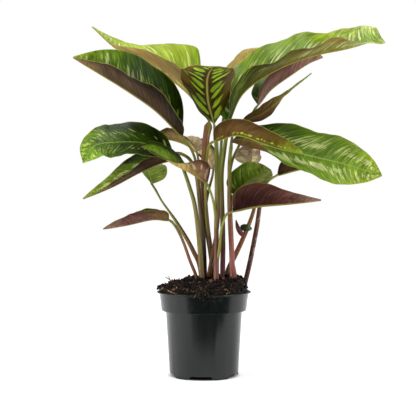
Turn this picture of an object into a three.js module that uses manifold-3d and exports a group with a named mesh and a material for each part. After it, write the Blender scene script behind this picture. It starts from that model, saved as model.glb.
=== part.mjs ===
// A potted calathea: twenty waved leaves on eleven shoots, standing in soil in a thin nursery pot.
// Millimetres, +Z up. The origin is the centre of the pot's underside; -Y is the front of the plant.
import * as THREE from "three";
import { mergeVertices } from "three/addons/utils/BufferGeometryUtils.js";
import Module from "manifold-3d";

const wasm = await Module();
wasm.setup();

// Driving dimensions of the pot
const POT_HEIGHT = 108;
const POT_SIDES = 36;
const WALL = 1.2;
const FOOT_RADIUS = 44;
const BODY_TOP_RADIUS = 49.1;
const COLLAR_FOOT = 83.5;
const COLLAR_FOOT_RADIUS = 54.7;
const COLLAR_TOP_RADIUS = 57;
const LIP_RADIUS = 60.5;
const LIP_THICK = 1.8;
const FLOOR_RAISE = 5;
const FLOOR_DISC_RADIUS = 26;
const NOTCH_COUNT = 5;
const NOTCH_TURN = -5;
const NOTCH_FOOT_WIDTH = 38;
const NOTCH_TOP_WIDTH = 24;
const DRAIN_RADIUS = 3.5;
const DRAIN_CIRCLE = 36;

// Driving dimensions of the soil
const GAP = 0.3;
const HOLE_GAP = 0.35;
const SOIL_SIDES = 28;
const SOIL_CREST = 127;
const SOIL_ROUGHNESS = 1.2;
const SOIL_SEED = 11;

// Rings of the soil's top, from the rim inwards: radius, then heights on the right, at the back, left and front
const SOIL_HEIGHTS = [
  [54, 119, 113, 115, 111.5],
  [49, 126, 117, 117, 113],
  [41, 128, 120, 118.5, 115.5],
  [31, 128, 124, 121, 119],
  [20, 127, 126, 124.5, 122.5],
  [10, 127, 127, 126, 125.5],
];

// Driving dimensions shared by all leaves
const BLADE_THICK = 0.7;
const RIB_DEPTH_BASE = 2.0;
const RIB_DEPTH_TIP = 0.3;
const RIB_HALF_BASE = 1.6;
const RIB_HALF_TIP = 0.5;
const LOBE = 0.3;
const PETIOLE_END_RADIUS = 1.35;
const STEM_SIDES = 6;

// Share of a blade's full half width, at even steps from its base to its drip tip
const OUTLINE = [0.045, 0.58, 0.84, 0.96, 1.0, 0.99, 0.96, 0.89, 0.78, 0.6, 0.34, 0.03];
const SLIM_OUTLINE = [0.045, 0.55, 0.87, 0.98, 1.0, 0.95, 0.81, 0.64, 0.48, 0.32, 0.17, 0.03];
const BLUNT_OUTLINE = [0.045, 0.62, 0.86, 0.97, 1.0, 1.0, 1.0, 0.97, 0.9, 0.77, 0.5, 0.03];
const SQUARE_OUTLINE = [0.045, 0.62, 0.86, 0.97, 1.0, 1.0, 1.0, 0.98, 0.97, 0.93, 0.86, 0.5];
const TAPERED_OUTLINE = [0.045, 0.57, 0.86, 0.97, 1.0, 0.98, 0.91, 0.78, 0.63, 0.46, 0.26, 0.03];

// One row for each leaf. midrib: points from base to tip. face: the ways the upper side looks, from base to tip.
// half: the half width. left and right, seen from above with the tip ahead. fold: how far that half is folded up
// from flat, from base to tip. curl: how far it curls on by its margin, in degrees. lobe: how far its base lobe
// reaches back. wave: height, number and phase of the margin's waves. rows: steps along the blade.
const LEAVES = {
  a: {
    midrib: [[-28, 0, 309], [-60, -10, 340], [-95, -22, 363.5], [-130, -32, 384], [-163, -40, 403]],
    face: [[0, -0.515, 0.857]],
    half: 49,
    left: { fold: [48, 47, 46], curl: [0] },
    right: { fold: [18, 40, 49, 49], curl: [0], lobe: -0.1 },
    wave: [2, 3, 0.4],
    rows: 16,
  },
  b: {
    midrib: [[13, -8, 323], [6, -30, 347], [4, -70, 366], [6, -120, 372], [11, -170, 372]],
    face: [[0, 0.9, 0.4], [0, 0.4, 0.9], [0, 0.1, 1]],
    half: 37,
    left: { fold: [48, 28, 12, 8], curl: [8] },
    right: { fold: [55, 32, 12, 8], curl: [8] },
    wave: [2, 3, 1.4],
    rows: 16,
  },
  c: {
    midrib: [[7, 26, 330], [-21, 36, 368], [-59, 44, 398], [-112, 50, 426], [-151, 56, 460]],
    face: [[0, -0.64, 0.77], [0, -0.31, 0.95], [0, -0.14, 0.99]],
    half: 53,
    outline: SLIM_OUTLINE,
    left: { fold: [57, 47, 29, 6], curl: [5] },
    right: { fold: [58, 41, 34, 9], curl: [60, 40, 5, 5], lobe: -1.3 },
    wave: [2, 3, 2.1],
    rows: 16,
  },
  d: {
    midrib: [
      [31, 14, 327],
      [50, 12, 366],
      [91, 6, 394],
      [139, 0, 412],
      [188, -4, 422],
      [228, -6, 434],
    ],
    face: [[0, -0.22, 0.97], [0, -0.41, 0.91], [0, -0.37, 0.93]],
    half: 40,
    outline: SQUARE_OUTLINE,
    left: { fold: [42, 39, 36, 22, 28], curl: [5] },
    right: { fold: [42, 40, 32, 34, -8], curl: [0] },
    wave: [3.5, 5, 1.9],
    rows: 18,
  },
  e: {
    midrib: [[26, 30, 342], [35, 45, 378], [50, 60, 407], [74, 72, 434]],
    face: [[0, 0.5, 0.85], [0, 0.3, 0.95]],
    half: 26,
    left: { fold: [35], curl: [5] },
    right: { fold: [26], curl: [5] },
    wave: [1.5, 2, 0.9],
    rows: 11,
  },
  f: {
    midrib: [[71, 34, 353], [88, 37, 374], [115.5, 41, 394], [140, 45, 410], [159, 47, 417.5]],
    face: [[0, -0.1, 1]],
    half: 24,
    outline: BLUNT_OUTLINE,
    left: { fold: [45], curl: [5] },
    right: { fold: [45], curl: [5], lobe: 0.1 },
    wave: [1.5, 2, 0.1],
    rows: 12,
  },
  g: {
    midrib: [[50, 8, 329], [77, 8, 340.5], [105, 10, 364], [140, 14, 391.5]],
    face: [[0, 0.5, 0.87], [0, 0.4, 0.92], [0, -0.2, 0.97]],
    half: 11,
    outline: SLIM_OUTLINE,
    left: { fold: [-25, -20, 0], curl: [5] },
    right: { fold: [5], curl: [5] },
    wave: [1.5, 2, 0.5],
    rows: 11,
  },
  h: {
    midrib: [[13, -32, 300], [42, -55, 306], [71, -75, 295], [95, -88, 286], [118, -98, 280]],
    face: [[0, 0.28, 0.96]],
    half: 26,
    left: { fold: [26], curl: [0] },
    right: { fold: [32], curl: [0] },
    wave: [1.5, 2, 0.5],
    rows: 14,
  },
  w: {
    midrib: [[36, -4, 301], [84, -20, 294], [131, -34, 281], [177, -44, 269], [220, -52, 255]],
    face: [[0, -0.6, 0.8], [0, -0.64, 0.77]],
    half: 44,
    outline: BLUNT_OUTLINE,
    left: { fold: [10, 13, 9], curl: [0] },
    right: { fold: [-10, -10, -4, 0, 0], curl: [115, 85, 25, -5, -10] },
    wave: [2.5, 3, 1.5],
    rows: 18,
  },
  i: {
    midrib: [[98, 36, 260], [129, 50, 268], [164, 66, 272], [194, 80, 273]],
    face: [[0, 0.2, 0.98]],
    half: 30,
    left: { fold: [6], curl: [0] },
    right: { fold: [45], curl: [0], lobe: 0.6 },
    wave: [1.5, 2, 0.5],
    rows: 11,
  },
  j: {
    midrib: [[38, 8, 233], [55, 14, 249], [71, 20, 258], [88, 28, 266]],
    face: [[-0.3, -0.8, 0.5]],
    half: 24,
    outline: BLUNT_OUTLINE,
    left: { fold: [15], curl: [5] },
    right: { fold: [15], curl: [5] },
    wave: [1.5, 2, 0.5],
    rows: 11,
  },
  k: {
    midrib: [[37, -14, 212], [68, -24, 218], [106, -34, 221], [146, -42, 225]],
    face: [[0, 0.1, 1]],
    half: 30,
    outline: SLIM_OUTLINE,
    left: { fold: [46], curl: [5] },
    right: { fold: [62, 66, 60], curl: [0] },
    wave: [1.5, 2, 0.5],
    rows: 12,
  },
  l: {
    midrib: [[-40, -22, 286], [-78, -32, 297], [-113, -40, 297], [-136, -45, 292], [-150, -48, 271]],
    face: [[0, -0.59, 0.81], [0, -0.59, 0.81], [-0.6, -0.6, 0.5]],
    half: 36,
    outline: BLUNT_OUTLINE,
    left: { fold: [9, 4, 0], curl: [0] },
    right: { fold: [16, 14, 2, -12], curl: [0] },
    wave: [1.5, 3, 0.5],
    rows: 16,
  },
  m: {
    midrib: [[4, -24, 247], [-17, -38, 261], [-39, -50, 272], [-58, -62, 284], [-75, -72, 290]],
    face: [[0, 0.57, 0.82], [0, 0.09, 1], [0, -0.47, 0.88], [0, -0.57, 0.82], [0, -0.57, 0.82]],
    half: 26,
    left: { fold: [45, 38, 22, 12, 5], curl: [0] },
    right: { fold: [45, 30, 15, 10, 8], curl: [5] },
    wave: [1.5, 2, 0.5],
    rows: 13,
  },
  n: {
    midrib: [[-36, 8, 280], [-58, 7, 274], [-86, 5, 261], [-119, 2, 243], [-156, -2, 227]],
    face: [[0, -0.48, 0.87], [0, -0.52, 0.85], [0, -0.57, 0.82]],
    half: 24,
    outline: TAPERED_OUTLINE,
    left: { fold: [57, 54, 42], curl: [0] },
    right: { fold: [57, 48, 40], curl: [0] },
    wave: [1.5, 3, 0.5],
    rows: 13,
  },
  o: {
    midrib: [[-68, 18, 247], [-75, 40, 264], [-79, 66, 274], [-78, 92, 278]],
    face: [[0, -0.6, 0.8], [0, -0.3, 0.95]],
    half: 26,
    left: { fold: [50], curl: [5] },
    right: { fold: [0], curl: [5] },
    wave: [1.2, 2, 0.5],
    rows: 11,
  },
  p: {
    midrib: [[-45, -10, 201], [-66, -16, 202], [-96, -22, 195], [-127, -28, 189]],
    face: [[0, -0.15, 1], [0, 0.05, 1]],
    half: 20,
    left: { fold: [40], curl: [0] },
    right: { fold: [33], curl: [0] },
    wave: [1.2, 2, 0.5],
    rows: 11,
  },
  q: {
    midrib: [[-9, 26, 290], [-24, 40, 301], [-43, 56, 308], [-65, 72, 311]],
    face: [[0, 0.2, 0.98]],
    half: 26,
    left: { fold: [25], curl: [5] },
    right: { fold: [25], curl: [5] },
    wave: [1.5, 2, 0.5],
    rows: 11,
  },
  r: {
    midrib: [[13, 44, 269], [6, 54, 284], [-4, 66, 299], [-14, 78, 307]],
    face: [[0, 0.9, 0.3]],
    half: 14,
    left: { fold: [25], curl: [5] },
    right: { fold: [25], curl: [5] },
    wave: [1.5, 2, 0.5],
    rows: 11,
  },
  s: {
    midrib: [[61, 34, 273], [63, 37, 289], [61, 46, 305], [56, 60, 316]],
    face: [[0, 0.95, 0.3]],
    half: 26,
    left: { fold: [60], curl: [5] },
    right: { fold: [25], curl: [5] },
    wave: [1.5, 2, 0.5],
    rows: 11,
  },
};

// Each shoot is a list of stalks grown together. path: points from the soil or the fork up to the blade that
// leaf names, which adds its own base. radius: stalk radii from the first point to the last.
const SHOOTS = {
  shoot_01: [
    {
      leaf: "p",
      radius: [2.2, 2, 1.5],
      path: [[-5, -8, 110], [-10, -8, 128], [-18, -9, 148], [-25, -10, 168], [-32, -11, 184], [-39, -11, 195]],
    },
  ],
  shoot_02: [
    {
      leaf: "o",
      radius: [3.2, 3, 2.6, 1.4, 1.4],
      path: [
        [-1.5, -1, 107],
        [-3, -1, 125],
        [-6.5, -1, 144],
        [-13, -1, 158],
        [-20, 0, 171.5],
        [-28.5, 3, 185.5],
        [-37, 6, 199],
        [-46, 9, 211.5],
        [-55, 12, 224],
        [-63, 16, 238],
      ],
    },
  ],
  shoot_03: [
    {
      leaf: "n",
      radius: [3.2, 3, 2.4, 1.4],
      path: [
        [0, -12, 108],
        [-2.5, -12, 129],
        [-5, -12, 161],
        [-7.5, -11, 189],
        [-12, -8, 220],
        [-18.5, -3, 242],
        [-25, 2, 261],
        [-30, 6, 272],
      ],
    },
  ],
  shoot_04: [
    {
      leaf: "l",
      radius: [3, 3, 1.5],
      path: [
        [1.5, 9.5, 106],
        [1, 8, 132],
        [0, 6, 161],
        [-2, 4, 189],
        [-5, 2, 219],
        [-7, 0, 241],
        [-10.5, -2, 261],
        [-18, -6, 277],
        [-29, -14, 284],
      ],
    },
    {
      leaf: "a",
      radius: [2, 1.8, 1.5],
      path: [
        [-2, 4, 189],
        [-4.5, 4, 215],
        [-6, 5, 238],
        [-8, 6, 258],
        [-11, 6, 276],
        [-15.5, 4, 289],
        [-22, 2, 299],
      ],
    },
  ],
  shoot_05: [
    {
      leaf: "c",
      radius: [3.2, 3.8, 4.4, 5],
      path: [
        [13, 8, 106],
        [11.5, 8, 134],
        [8.5, 8, 160],
        [4.5, 8, 186],
        [1.5, 9, 215],
        [0, 10, 241],
        [0, 11, 264],
        [1.5, 15, 288],
        [3, 20, 308],
        [5.5, 24, 322],
      ],
    },
    {
      leaf: "h",
      radius: [2, 1.5],
      path: [
        [6, 7, 176],
        [3.5, 2, 197],
        [2.5, -4, 219],
        [2, -9, 238],
        [2.5, -14, 257],
        [3.5, -20, 275],
        [5, -26, 289],
        [8.5, -30, 296],
      ],
    },
    {
      leaf: "q",
      radius: [2, 1.4],
      path: [[2, 9, 210], [-2, 15, 239], [-5.5, 20, 265], [-8, 24, 281]],
    },
    {
      leaf: "r",
      radius: [2, 1.4],
      path: [[1.5, 9, 215], [6, 20, 238], [11, 32, 257]],
    },
  ],
  shoot_06: [
    {
      leaf: "e",
      radius: [3, 2.4, 1.5],
      path: [
        [5, 2.5, 107],
        [7, 1, 131],
        [12.5, 1, 161],
        [16, 4, 181],
        [19, 8, 210],
        [20, 12, 238],
        [21, 18, 271],
        [23, 24, 304],
        [25, 28, 329],
      ],
    },
  ],
  shoot_07: [
    {
      leaf: "b",
      radius: [3.6, 3, 2.8, 2.6],
      path: [
        [15.5, -16, 107],
        [16, -15, 136],
        [16, -14, 168],
        [16, -13, 200],
        [16.5, -12, 228],
        [16.5, -11, 253],
        [16.5, -10, 279],
        [15.5, -9, 303],
      ],
    },
    {
      leaf: "m",
      radius: [1.8, 1.4],
      path: [[16, -14, 184], [14.5, -16, 207], [12, -18, 223], [8.5, -21, 235]],
    },
    {
      leaf: "k",
      radius: [1.8, 1.4],
      path: [[17.5, -15, 146], [20, -18, 167], [21.5, -18, 183], [24.5, -17, 197], [29, -15, 207]],
    },
  ],
  shoot_08: [
    {
      leaf: "d",
      radius: [3.4, 3, 2.3],
      path: [
        [24, -8, 106],
        [24, -7, 135],
        [24.5, -6, 167],
        [24, -5, 200],
        [23, -4, 232],
        [23, -1, 261],
        [26.5, 5, 290],
        [29.5, 11, 311],
      ],
    },
  ],
  shoot_09: [
    {
      leaf: "w",
      radius: [3.6, 3.1, 1.8],
      path: [
        [37, -12, 104],
        [36.5, -11, 129],
        [35.5, -10, 161],
        [34, -9, 193],
        [33, -8, 225],
        [33, -7, 251],
        [33, -6, 274],
        [34.5, -5, 290],
      ],
    },
    {
      leaf: "j",
      radius: [1.8, 1.4],
      path: [[34, -9, 193], [34.5, -6, 210], [35.5, 1, 223]],
    },
    {
      leaf: "g",
      radius: [2, 1.4],
      path: [[33, -7, 251], [33.5, -2, 277], [35.5, 4, 301], [40.5, 7, 322]],
    },
    {
      leaf: "f",
      radius: [2, 1.4],
      path: [[33, -6, 261], [37.5, 5, 279], [47, 15, 299], [57, 24, 322], [65, 30, 342]],
    },
    {
      radius: [2.2, 2.4, 0.8],
      path: [[39.5, -12.5, 106], [40.5, -13, 121], [39, -12.5, 136], [37.5, -12, 148]],
    },
  ],
  shoot_10: [
    {
      leaf: "s",
      radius: [3.2, 3.2, 2.2, 1.6],
      path: [
        [26, 12, 106],
        [31, 11, 133],
        [40.5, 10, 153],
        [49, 11, 171],
        [58, 13, 192],
        [65.5, 17, 214],
        [67.5, 23, 235],
        [64.5, 29, 256],
      ],
    },
    {
      radius: [2.4, 3.4, 2.6, 0.7],
      path: [[52, 11, 178], [47, 9.5, 184], [43.5, 8.5, 191], [41.5, 8, 199.5]],
    },
    {
      radius: [2.6, 4.6, 4.2, 1],
      path: [[47.5, 12, 190], [52, 12.5, 189.5], [58, 13, 188.5], [62.5, 13, 188]],
    },
  ],
  shoot_11: [
    {
      leaf: "i",
      radius: [3.2, 3, 1.4],
      path: [
        [50, 6, 105],
        [54.5, 6, 123],
        [59.5, 7, 144],
        [64.5, 9, 168],
        [69.5, 12, 194],
        [73, 16, 218],
        [77, 22, 237],
        [85, 29, 251],
      ],
    },
  ],
};

const radians = THREE.MathUtils.degToRad;
const mix = THREE.MathUtils.lerp;

// A value on the smooth curve through evenly spaced values; it runs straight on past its ends.
function along(values, t) {
  if (values.length === 1) return values[0];
  const spans = values.length - 1;
  const place = t * spans;
  const i = Math.min(Math.max(Math.floor(place), 0), spans - 1);
  const u = place - i;
  const b = values[i];
  const c = values[i + 1];
  const a = i > 0 ? values[i - 1] : 2 * b - c;
  const d = i + 2 <= spans ? values[i + 2] : 2 * c - b;
  return b + 0.5 * u * (c - a + u * (2 * a - 5 * b + 4 * c - d + u * (3 * b - 3 * c + d - a)));
}

function alongPoints(points, t) {
  const part = (axis) => along(points.map((point) => point[axis]), t);
  return new THREE.Vector3(part(0), part(1), part(2));
}

// The midrib's place at t with its direction, the upper side's normal and the direction of the left half.
function bladeFrame(leaf, t) {
  const step = 0.002;
  const place = alongPoints(leaf.midrib, t);
  const ahead = alongPoints(leaf.midrib, t + step).sub(alongPoints(leaf.midrib, t - step)).normalize();
  const normal = alongPoints(leaf.face, t).projectOnPlane(ahead).normalize();
  return { place, ahead, normal, left: normal.clone().cross(ahead) };
}

const halfWidth = (leaf, t) => leaf.half * Math.max(along(leaf.outline ?? OUTLINE, t), 0.02);

// A point of a blade's upper side. s runs from -1 at the right margin over the midrib to 1 at the left margin.
function bladePoint(leaf, t, s) {
  const { place, ahead, normal, left } = bladeFrame(leaf, t);
  const half = halfWidth(leaf, t);
  const across = Math.abs(s);
  const side = Math.sign(s);
  const { fold: folds, curl: curls, lobe = LOBE } = side > 0 ? leaf.left : leaf.right;
  const fold = radians(along(folds, t));
  const curl = radians(along(curls, t)) || 1e-6;
  const out = (Math.sin(fold + curl * across) - Math.sin(fold)) / curl;
  const up = (Math.cos(fold) - Math.cos(fold + curl * across)) / curl;
  const [height, count, phase] = leaf.wave;
  const swing = Math.sin(2 * Math.PI * count * t + phase + (side > 0 ? 0 : 2.2));
  const wave = height * swing * across * across * Math.sin(Math.PI * Math.min(Math.max(t, 0), 1));
  const angle = fold + curl * across;
  const back = lobe * half * across * Math.max(1 - 1.6 * t, 0) ** 2;
  return place
    .addScaledVector(left, side * (half * out - wave * Math.sin(angle)))
    .addScaledVector(normal, half * up + wave * Math.cos(angle))
    .addScaledVector(ahead, -back);
}

// The upper side's unit normal, from its slopes along and across one half of the blade.
function bladeNormal(leaf, t, s) {
  if (s === 0) return bladeFrame(leaf, t).normal;
  const step = 0.004;
  const low = Math.max(t - step, 0);
  const high = Math.min(t + step, 1);
  const lengthways = bladePoint(leaf, high, s).sub(bladePoint(leaf, low, s));
  const inner = s - Math.sign(s) * step;
  const crossways = bladePoint(leaf, t, s).sub(bladePoint(leaf, t, inner)).multiplyScalar(Math.sign(s));
  return crossways.cross(lengthways).negate().normalize();
}

// Places across a blade: the midrib's ridge in the middle, then even steps to each margin.
function bladeColumns(leaf, t) {
  const rib = Math.min(mix(RIB_HALF_BASE, RIB_HALF_TIP, t) / halfWidth(leaf, t), 0.5);
  const shares = leaf.half > 30 ? [0, 0.34, 0.68, 1] : [0, 0.5, 1];
  const out = shares.map((share) => mix(rib, 1, share));
  return [...out.map((s) => -s).reverse(), 0, ...out];
}

// A closed thin solid between the blade's upper side and a like-meshed underside that thickens to a midrib.
function bladeGeometry(leaf) {
  const positions = [];
  const triangles = [];
  const ease = (u) => u - (0.5 * Math.sin(2 * Math.PI * u)) / (2 * Math.PI);
  const width = bladeColumns(leaf, 0.5).length;
  const lines = leaf.rows + 1;
  for (const under of [false, true]) {
    for (let row = 0; row < lines; row += 1) {
      const t = ease(row / leaf.rows);
      for (const s of bladeColumns(leaf, t)) {
        const rib = s === 0 ? mix(RIB_DEPTH_BASE, RIB_DEPTH_TIP, t) : 0;
        const point = bladePoint(leaf, t, s);
        if (under) point.addScaledVector(bladeNormal(leaf, t, s), -(BLADE_THICK + rib));
        positions.push(...point);
      }
    }
  }
  const count = lines * width;
  const quad = (a, b, c, d) => triangles.push(a, c, b, a, d, c);
  for (let row = 0; row < lines - 1; row += 1) {
    for (let column = 0; column < width - 1; column += 1) {
      const a = row * width + column;
      const b = a + width;
      quad(a, a + 1, b + 1, b);
      triangles.push(count + a, count + a + 1, count + b + 1, count + a, count + b + 1, count + b);
    }
    const right = row * width;
    const left = right + width - 1;
    quad(right, right + width, count + right + width, count + right);
    quad(left, count + left, count + left + width, left + width);
  }
  const tip = (lines - 1) * width;
  for (let column = 0; column < width - 1; column += 1) {
    quad(column, count + column, count + column + 1, column + 1);
    quad(tip + column, tip + column + 1, count + tip + column + 1, count + tip + column);
  }
  const geometry = new THREE.BufferGeometry();
  geometry.setAttribute("position", new THREE.Float32BufferAttribute(positions, 3));
  geometry.setIndex(triangles);
  return geometry;
}

// Where a petiole ends: just short of the blade's base, at mid depth of its midrib.
function petioleEnd(leaf) {
  const { place, ahead, normal } = bladeFrame(leaf, 0);
  return place.addScaledVector(ahead, -1.5 * GAP).addScaledVector(normal, -(BLADE_THICK + RIB_DEPTH_BASE) / 2);
}

// A round tapering stalk along a smooth path, with flat ends; grow widens it for its hole in the soil.
function stalkGeometry({ leaf: letter, radius: radii, path: points }, grow = 0) {
  const leaf = LEAVES[letter];
  const path = leaf ? [...points, petioleEnd(leaf).toArray()] : points;
  const steps = Math.round(1.5 * (path.length - 1));
  const positions = [];
  const triangles = [];
  for (let ring = 0; ring <= steps; ring += 1) {
    const t = ring / steps;
    const atBlade = leaf && ring === steps;
    const slope = alongPoints(path, t + 0.01).sub(alongPoints(path, t - 0.01)).normalize();
    const ahead = atBlade ? bladeFrame(leaf, 0).ahead : slope;
    const side = new THREE.Vector3(0, 1, 0).projectOnPlane(ahead).normalize();
    const other = ahead.clone().cross(side);
    const radius = (atBlade ? PETIOLE_END_RADIUS : along(radii, t)) + grow;
    for (let corner = 0; corner < STEM_SIDES; corner += 1) {
      const turn = (2 * Math.PI * corner) / STEM_SIDES;
      const point = alongPoints(path, t)
        .addScaledVector(side, radius * Math.cos(turn))
        .addScaledVector(other, radius * Math.sin(turn));
      positions.push(...point);
    }
  }
  const last = steps * STEM_SIDES;
  for (let ring = 0; ring < steps; ring += 1) {
    for (let corner = 0; corner < STEM_SIDES; corner += 1) {
      const next = (corner + 1) % STEM_SIDES;
      const a = ring * STEM_SIDES + corner;
      const b = ring * STEM_SIDES + next;
      triangles.push(a, b, b + STEM_SIDES, a, b + STEM_SIDES, a + STEM_SIDES);
    }
  }
  for (let corner = 1; corner < STEM_SIDES - 1; corner += 1) {
    triangles.push(0, corner + 1, corner, last, last + corner, last + corner + 1);
  }
  const geometry = new THREE.BufferGeometry();
  geometry.setAttribute("position", new THREE.Float32BufferAttribute(positions, 3));
  geometry.setIndex(triangles);
  return geometry;
}

// Joining and cutting closed meshes
function solidFrom(geometry) {
  const plain = geometry.clone();
  plain.deleteAttribute("normal");
  plain.deleteAttribute("uv");
  const merged = mergeVertices(plain, 1e-4);
  return new wasm.Manifold(
    new wasm.Mesh({
      numProp: 3,
      vertProperties: merged.attributes.position.array,
      triVerts: new Uint32Array(merged.index.array),
    }),
  );
}

function geometryFrom(solid) {
  const mesh = solid.getMesh();
  const geometry = new THREE.BufferGeometry();
  geometry.setAttribute("position", new THREE.BufferAttribute(new Float32Array(mesh.vertProperties), 3));
  geometry.setIndex(new THREE.BufferAttribute(new Uint32Array(mesh.triVerts), 1));
  return geometry;
}

function shootGeometry(stalks) {
  const [first, ...forks] = stalks.map((stalk) => solidFrom(stalkGeometry(stalk)));
  return geometryFrom(forks.reduce((joined, fork) => joined.add(fork), first));
}

// The pot: one lathed wall with a stepped collar and a turned-out lip, notched and drained at its foot.
function potGeometry() {
  const lipFoot = POT_HEIGHT - LIP_THICK;
  const profile = [
    [0, 0],
    [FLOOR_DISC_RADIUS, 0],
    [FLOOR_DISC_RADIUS + 4, FLOOR_RAISE],
    [FOOT_RADIUS - WALL + 0.2, FLOOR_RAISE],
    [FOOT_RADIUS - WALL, 0],
    [FOOT_RADIUS, 0],
    [BODY_TOP_RADIUS, COLLAR_FOOT],
    [COLLAR_FOOT_RADIUS - 0.6, COLLAR_FOOT],
    [COLLAR_FOOT_RADIUS, COLLAR_FOOT + 0.8],
    [COLLAR_TOP_RADIUS, lipFoot - 1.5],
    [LIP_RADIUS - 0.6, lipFoot],
    [LIP_RADIUS, POT_HEIGHT - 0.7],
    [LIP_RADIUS - 0.7, POT_HEIGHT],
    [COLLAR_TOP_RADIUS - WALL + 0.6, POT_HEIGHT],
    [COLLAR_TOP_RADIUS - WALL, lipFoot - 1.5],
    [COLLAR_FOOT_RADIUS - WALL, COLLAR_FOOT + WALL + 0.6],
    [BODY_TOP_RADIUS - WALL, COLLAR_FOOT + WALL],
    [FOOT_RADIUS - WALL + 0.2, FLOOR_RAISE + WALL],
    [FLOOR_DISC_RADIUS + 3.4, FLOOR_RAISE + WALL],
    [FLOOR_DISC_RADIUS - 0.6, WALL],
    [0, WALL],
  ];
  const points = profile.map(([radius, height]) => new THREE.Vector2(radius, height));
  const wall = new THREE.LatheGeometry(points, POT_SIDES).rotateX(Math.PI / 2);
  let pot = solidFrom(wall);
  const notch = new THREE.Shape();
  notch.moveTo(-NOTCH_FOOT_WIDTH / 2, -1);
  notch.lineTo(NOTCH_FOOT_WIDTH / 2, -1);
  notch.lineTo(NOTCH_TOP_WIDTH / 2, FLOOR_RAISE - 0.4);
  notch.lineTo(-NOTCH_TOP_WIDTH / 2, FLOOR_RAISE - 0.4);
  const cutter = new THREE.ExtrudeGeometry(notch, { depth: 16, bevelEnabled: false });
  cutter.rotateX(Math.PI / 2).translate(0, -(FOOT_RADIUS - 8), 0);
  const drain = new THREE.CylinderGeometry(DRAIN_RADIUS, DRAIN_RADIUS, 6, 10).rotateX(Math.PI / 2);
  drain.translate(0, -DRAIN_CIRCLE, FLOOR_RAISE);
  for (let place = 0; place < NOTCH_COUNT; place += 1) {
    const turn = radians(NOTCH_TURN + (360 / NOTCH_COUNT) * place);
    pot = pot.subtract(solidFrom(cutter.clone().rotateZ(turn)));
    pot = pot.subtract(solidFrom(drain.clone().rotateZ(turn)));
  }
  return geometryFrom(pot);
}

// A repeatable random number from 0 to 1
function randomFrom(seed) {
  let state = seed;
  return () => {
    state = (state * 16807) % 2147483647;
    return state / 2147483647;
  };
}

// The soil's height at a turn about the pot, from what it is on the right, at the back, left and in front.
function soilHeight([right, back, left, front], turn) {
  const c = Math.cos(turn);
  const s = Math.sin(turn);
  return (c > 0 ? right : left) * c * c + (s > 0 ? back : front) * s * s;
}

// The soil fills the pot, heaps up round the shoots and spills over the lip on the left.
function soilGeometry() {
  const random = randomFrom(SOIL_SEED);
  const inner = (height) => {
    const up = (height - FLOOR_RAISE - WALL) / (COLLAR_FOOT - FLOOR_RAISE);
    return mix(FOOT_RADIUS + 0.2, BODY_TOP_RADIUS, up) - WALL - 1.5 * GAP;
  };
  const rings = [];
  const even = (radius, height) => () => [radius, height];
  rings.push(even(FLOOR_DISC_RADIUS - 0.9, WALL + GAP));
  rings.push(even(FLOOR_DISC_RADIUS + 3, FLOOR_RAISE + WALL + GAP));
  rings.push(even(inner(FLOOR_RAISE + WALL), FLOOR_RAISE + WALL + GAP));
  rings.push(even(inner(COLLAR_FOOT + WALL), COLLAR_FOOT + WALL + GAP));
  rings.push(even(COLLAR_FOOT_RADIUS - WALL - 1.5 * GAP, COLLAR_FOOT + WALL + GAP + 0.9));
  rings.push(even(COLLAR_TOP_RADIUS - WALL - 1.5 * GAP, POT_HEIGHT - 2.5));
  rings.push(even(COLLAR_TOP_RADIUS - WALL - GAP, POT_HEIGHT + GAP));
  const spill = (turn) => Math.max(0, Math.cos(turn - Math.PI)) ** 3;
  rings.push((turn) => [57.6 + 4 * spill(turn), POT_HEIGHT + GAP]);
  rings.push((turn) => [56.4 + 4.6 * spill(turn) + random(), POT_HEIGHT + 2 + 1.5 * spill(turn)]);
  for (const [radius, ...heights] of SOIL_HEIGHTS) {
    const rough = () => SOIL_ROUGHNESS * (2 * random() - 1);
    rings.push((turn) => [radius + 0.6 * rough(), soilHeight(heights, turn) + rough()]);
  }
  const positions = [0, 0, WALL + GAP];
  for (const ring of rings) {
    for (let side = 0; side < SOIL_SIDES; side += 1) {
      const turn = (2 * Math.PI * side) / SOIL_SIDES;
      const [radius, height] = ring(turn);
      positions.push(radius * Math.cos(turn), radius * Math.sin(turn), height);
    }
  }
  positions.push(0, 0, SOIL_CREST);
  const top = positions.length / 3 - 1;
  const triangles = [];
  for (let side = 0; side < SOIL_SIDES; side += 1) {
    const next = (side + 1) % SOIL_SIDES;
    triangles.push(0, 1 + next, 1 + side);
    for (let ring = 0; ring < rings.length - 1; ring += 1) {
      const a = 1 + ring * SOIL_SIDES + side;
      const b = 1 + ring * SOIL_SIDES + next;
      triangles.push(a, b, b + SOIL_SIDES, a, b + SOIL_SIDES, a + SOIL_SIDES);
    }
    const rim = 1 + (rings.length - 1) * SOIL_SIDES;
    triangles.push(rim + side, rim + next, top);
  }
  const geometry = new THREE.BufferGeometry();
  geometry.setAttribute("position", new THREE.Float32BufferAttribute(positions, 3));
  geometry.setIndex(triangles);
  let soil = solidFrom(geometry);
  for (const stalks of Object.values(SHOOTS)) {
    for (const stalk of stalks) {
      const [[x, y, z], ...rest] = stalk.path;
      if (z > SOIL_CREST) continue;
      const deeper = { ...stalk, path: [[x, y, z - HOLE_GAP], ...rest] };
      soil = soil.subtract(solidFrom(stalkGeometry(deeper, HOLE_GAP)));
    }
  }
  return geometryFrom(soil);
}

// Finishes
const finish = (color, roughness) => new THREE.MeshStandardMaterial({ color, roughness, metalness: 0 });
const PLASTIC = finish(0x2e3030, 0.45);
const SOIL = finish(0x2a1a10, 0.95);
const GREEN = finish(0x3f7a22, 0.35);
const STALK = finish(0x7a5a34, 0.5);

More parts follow.
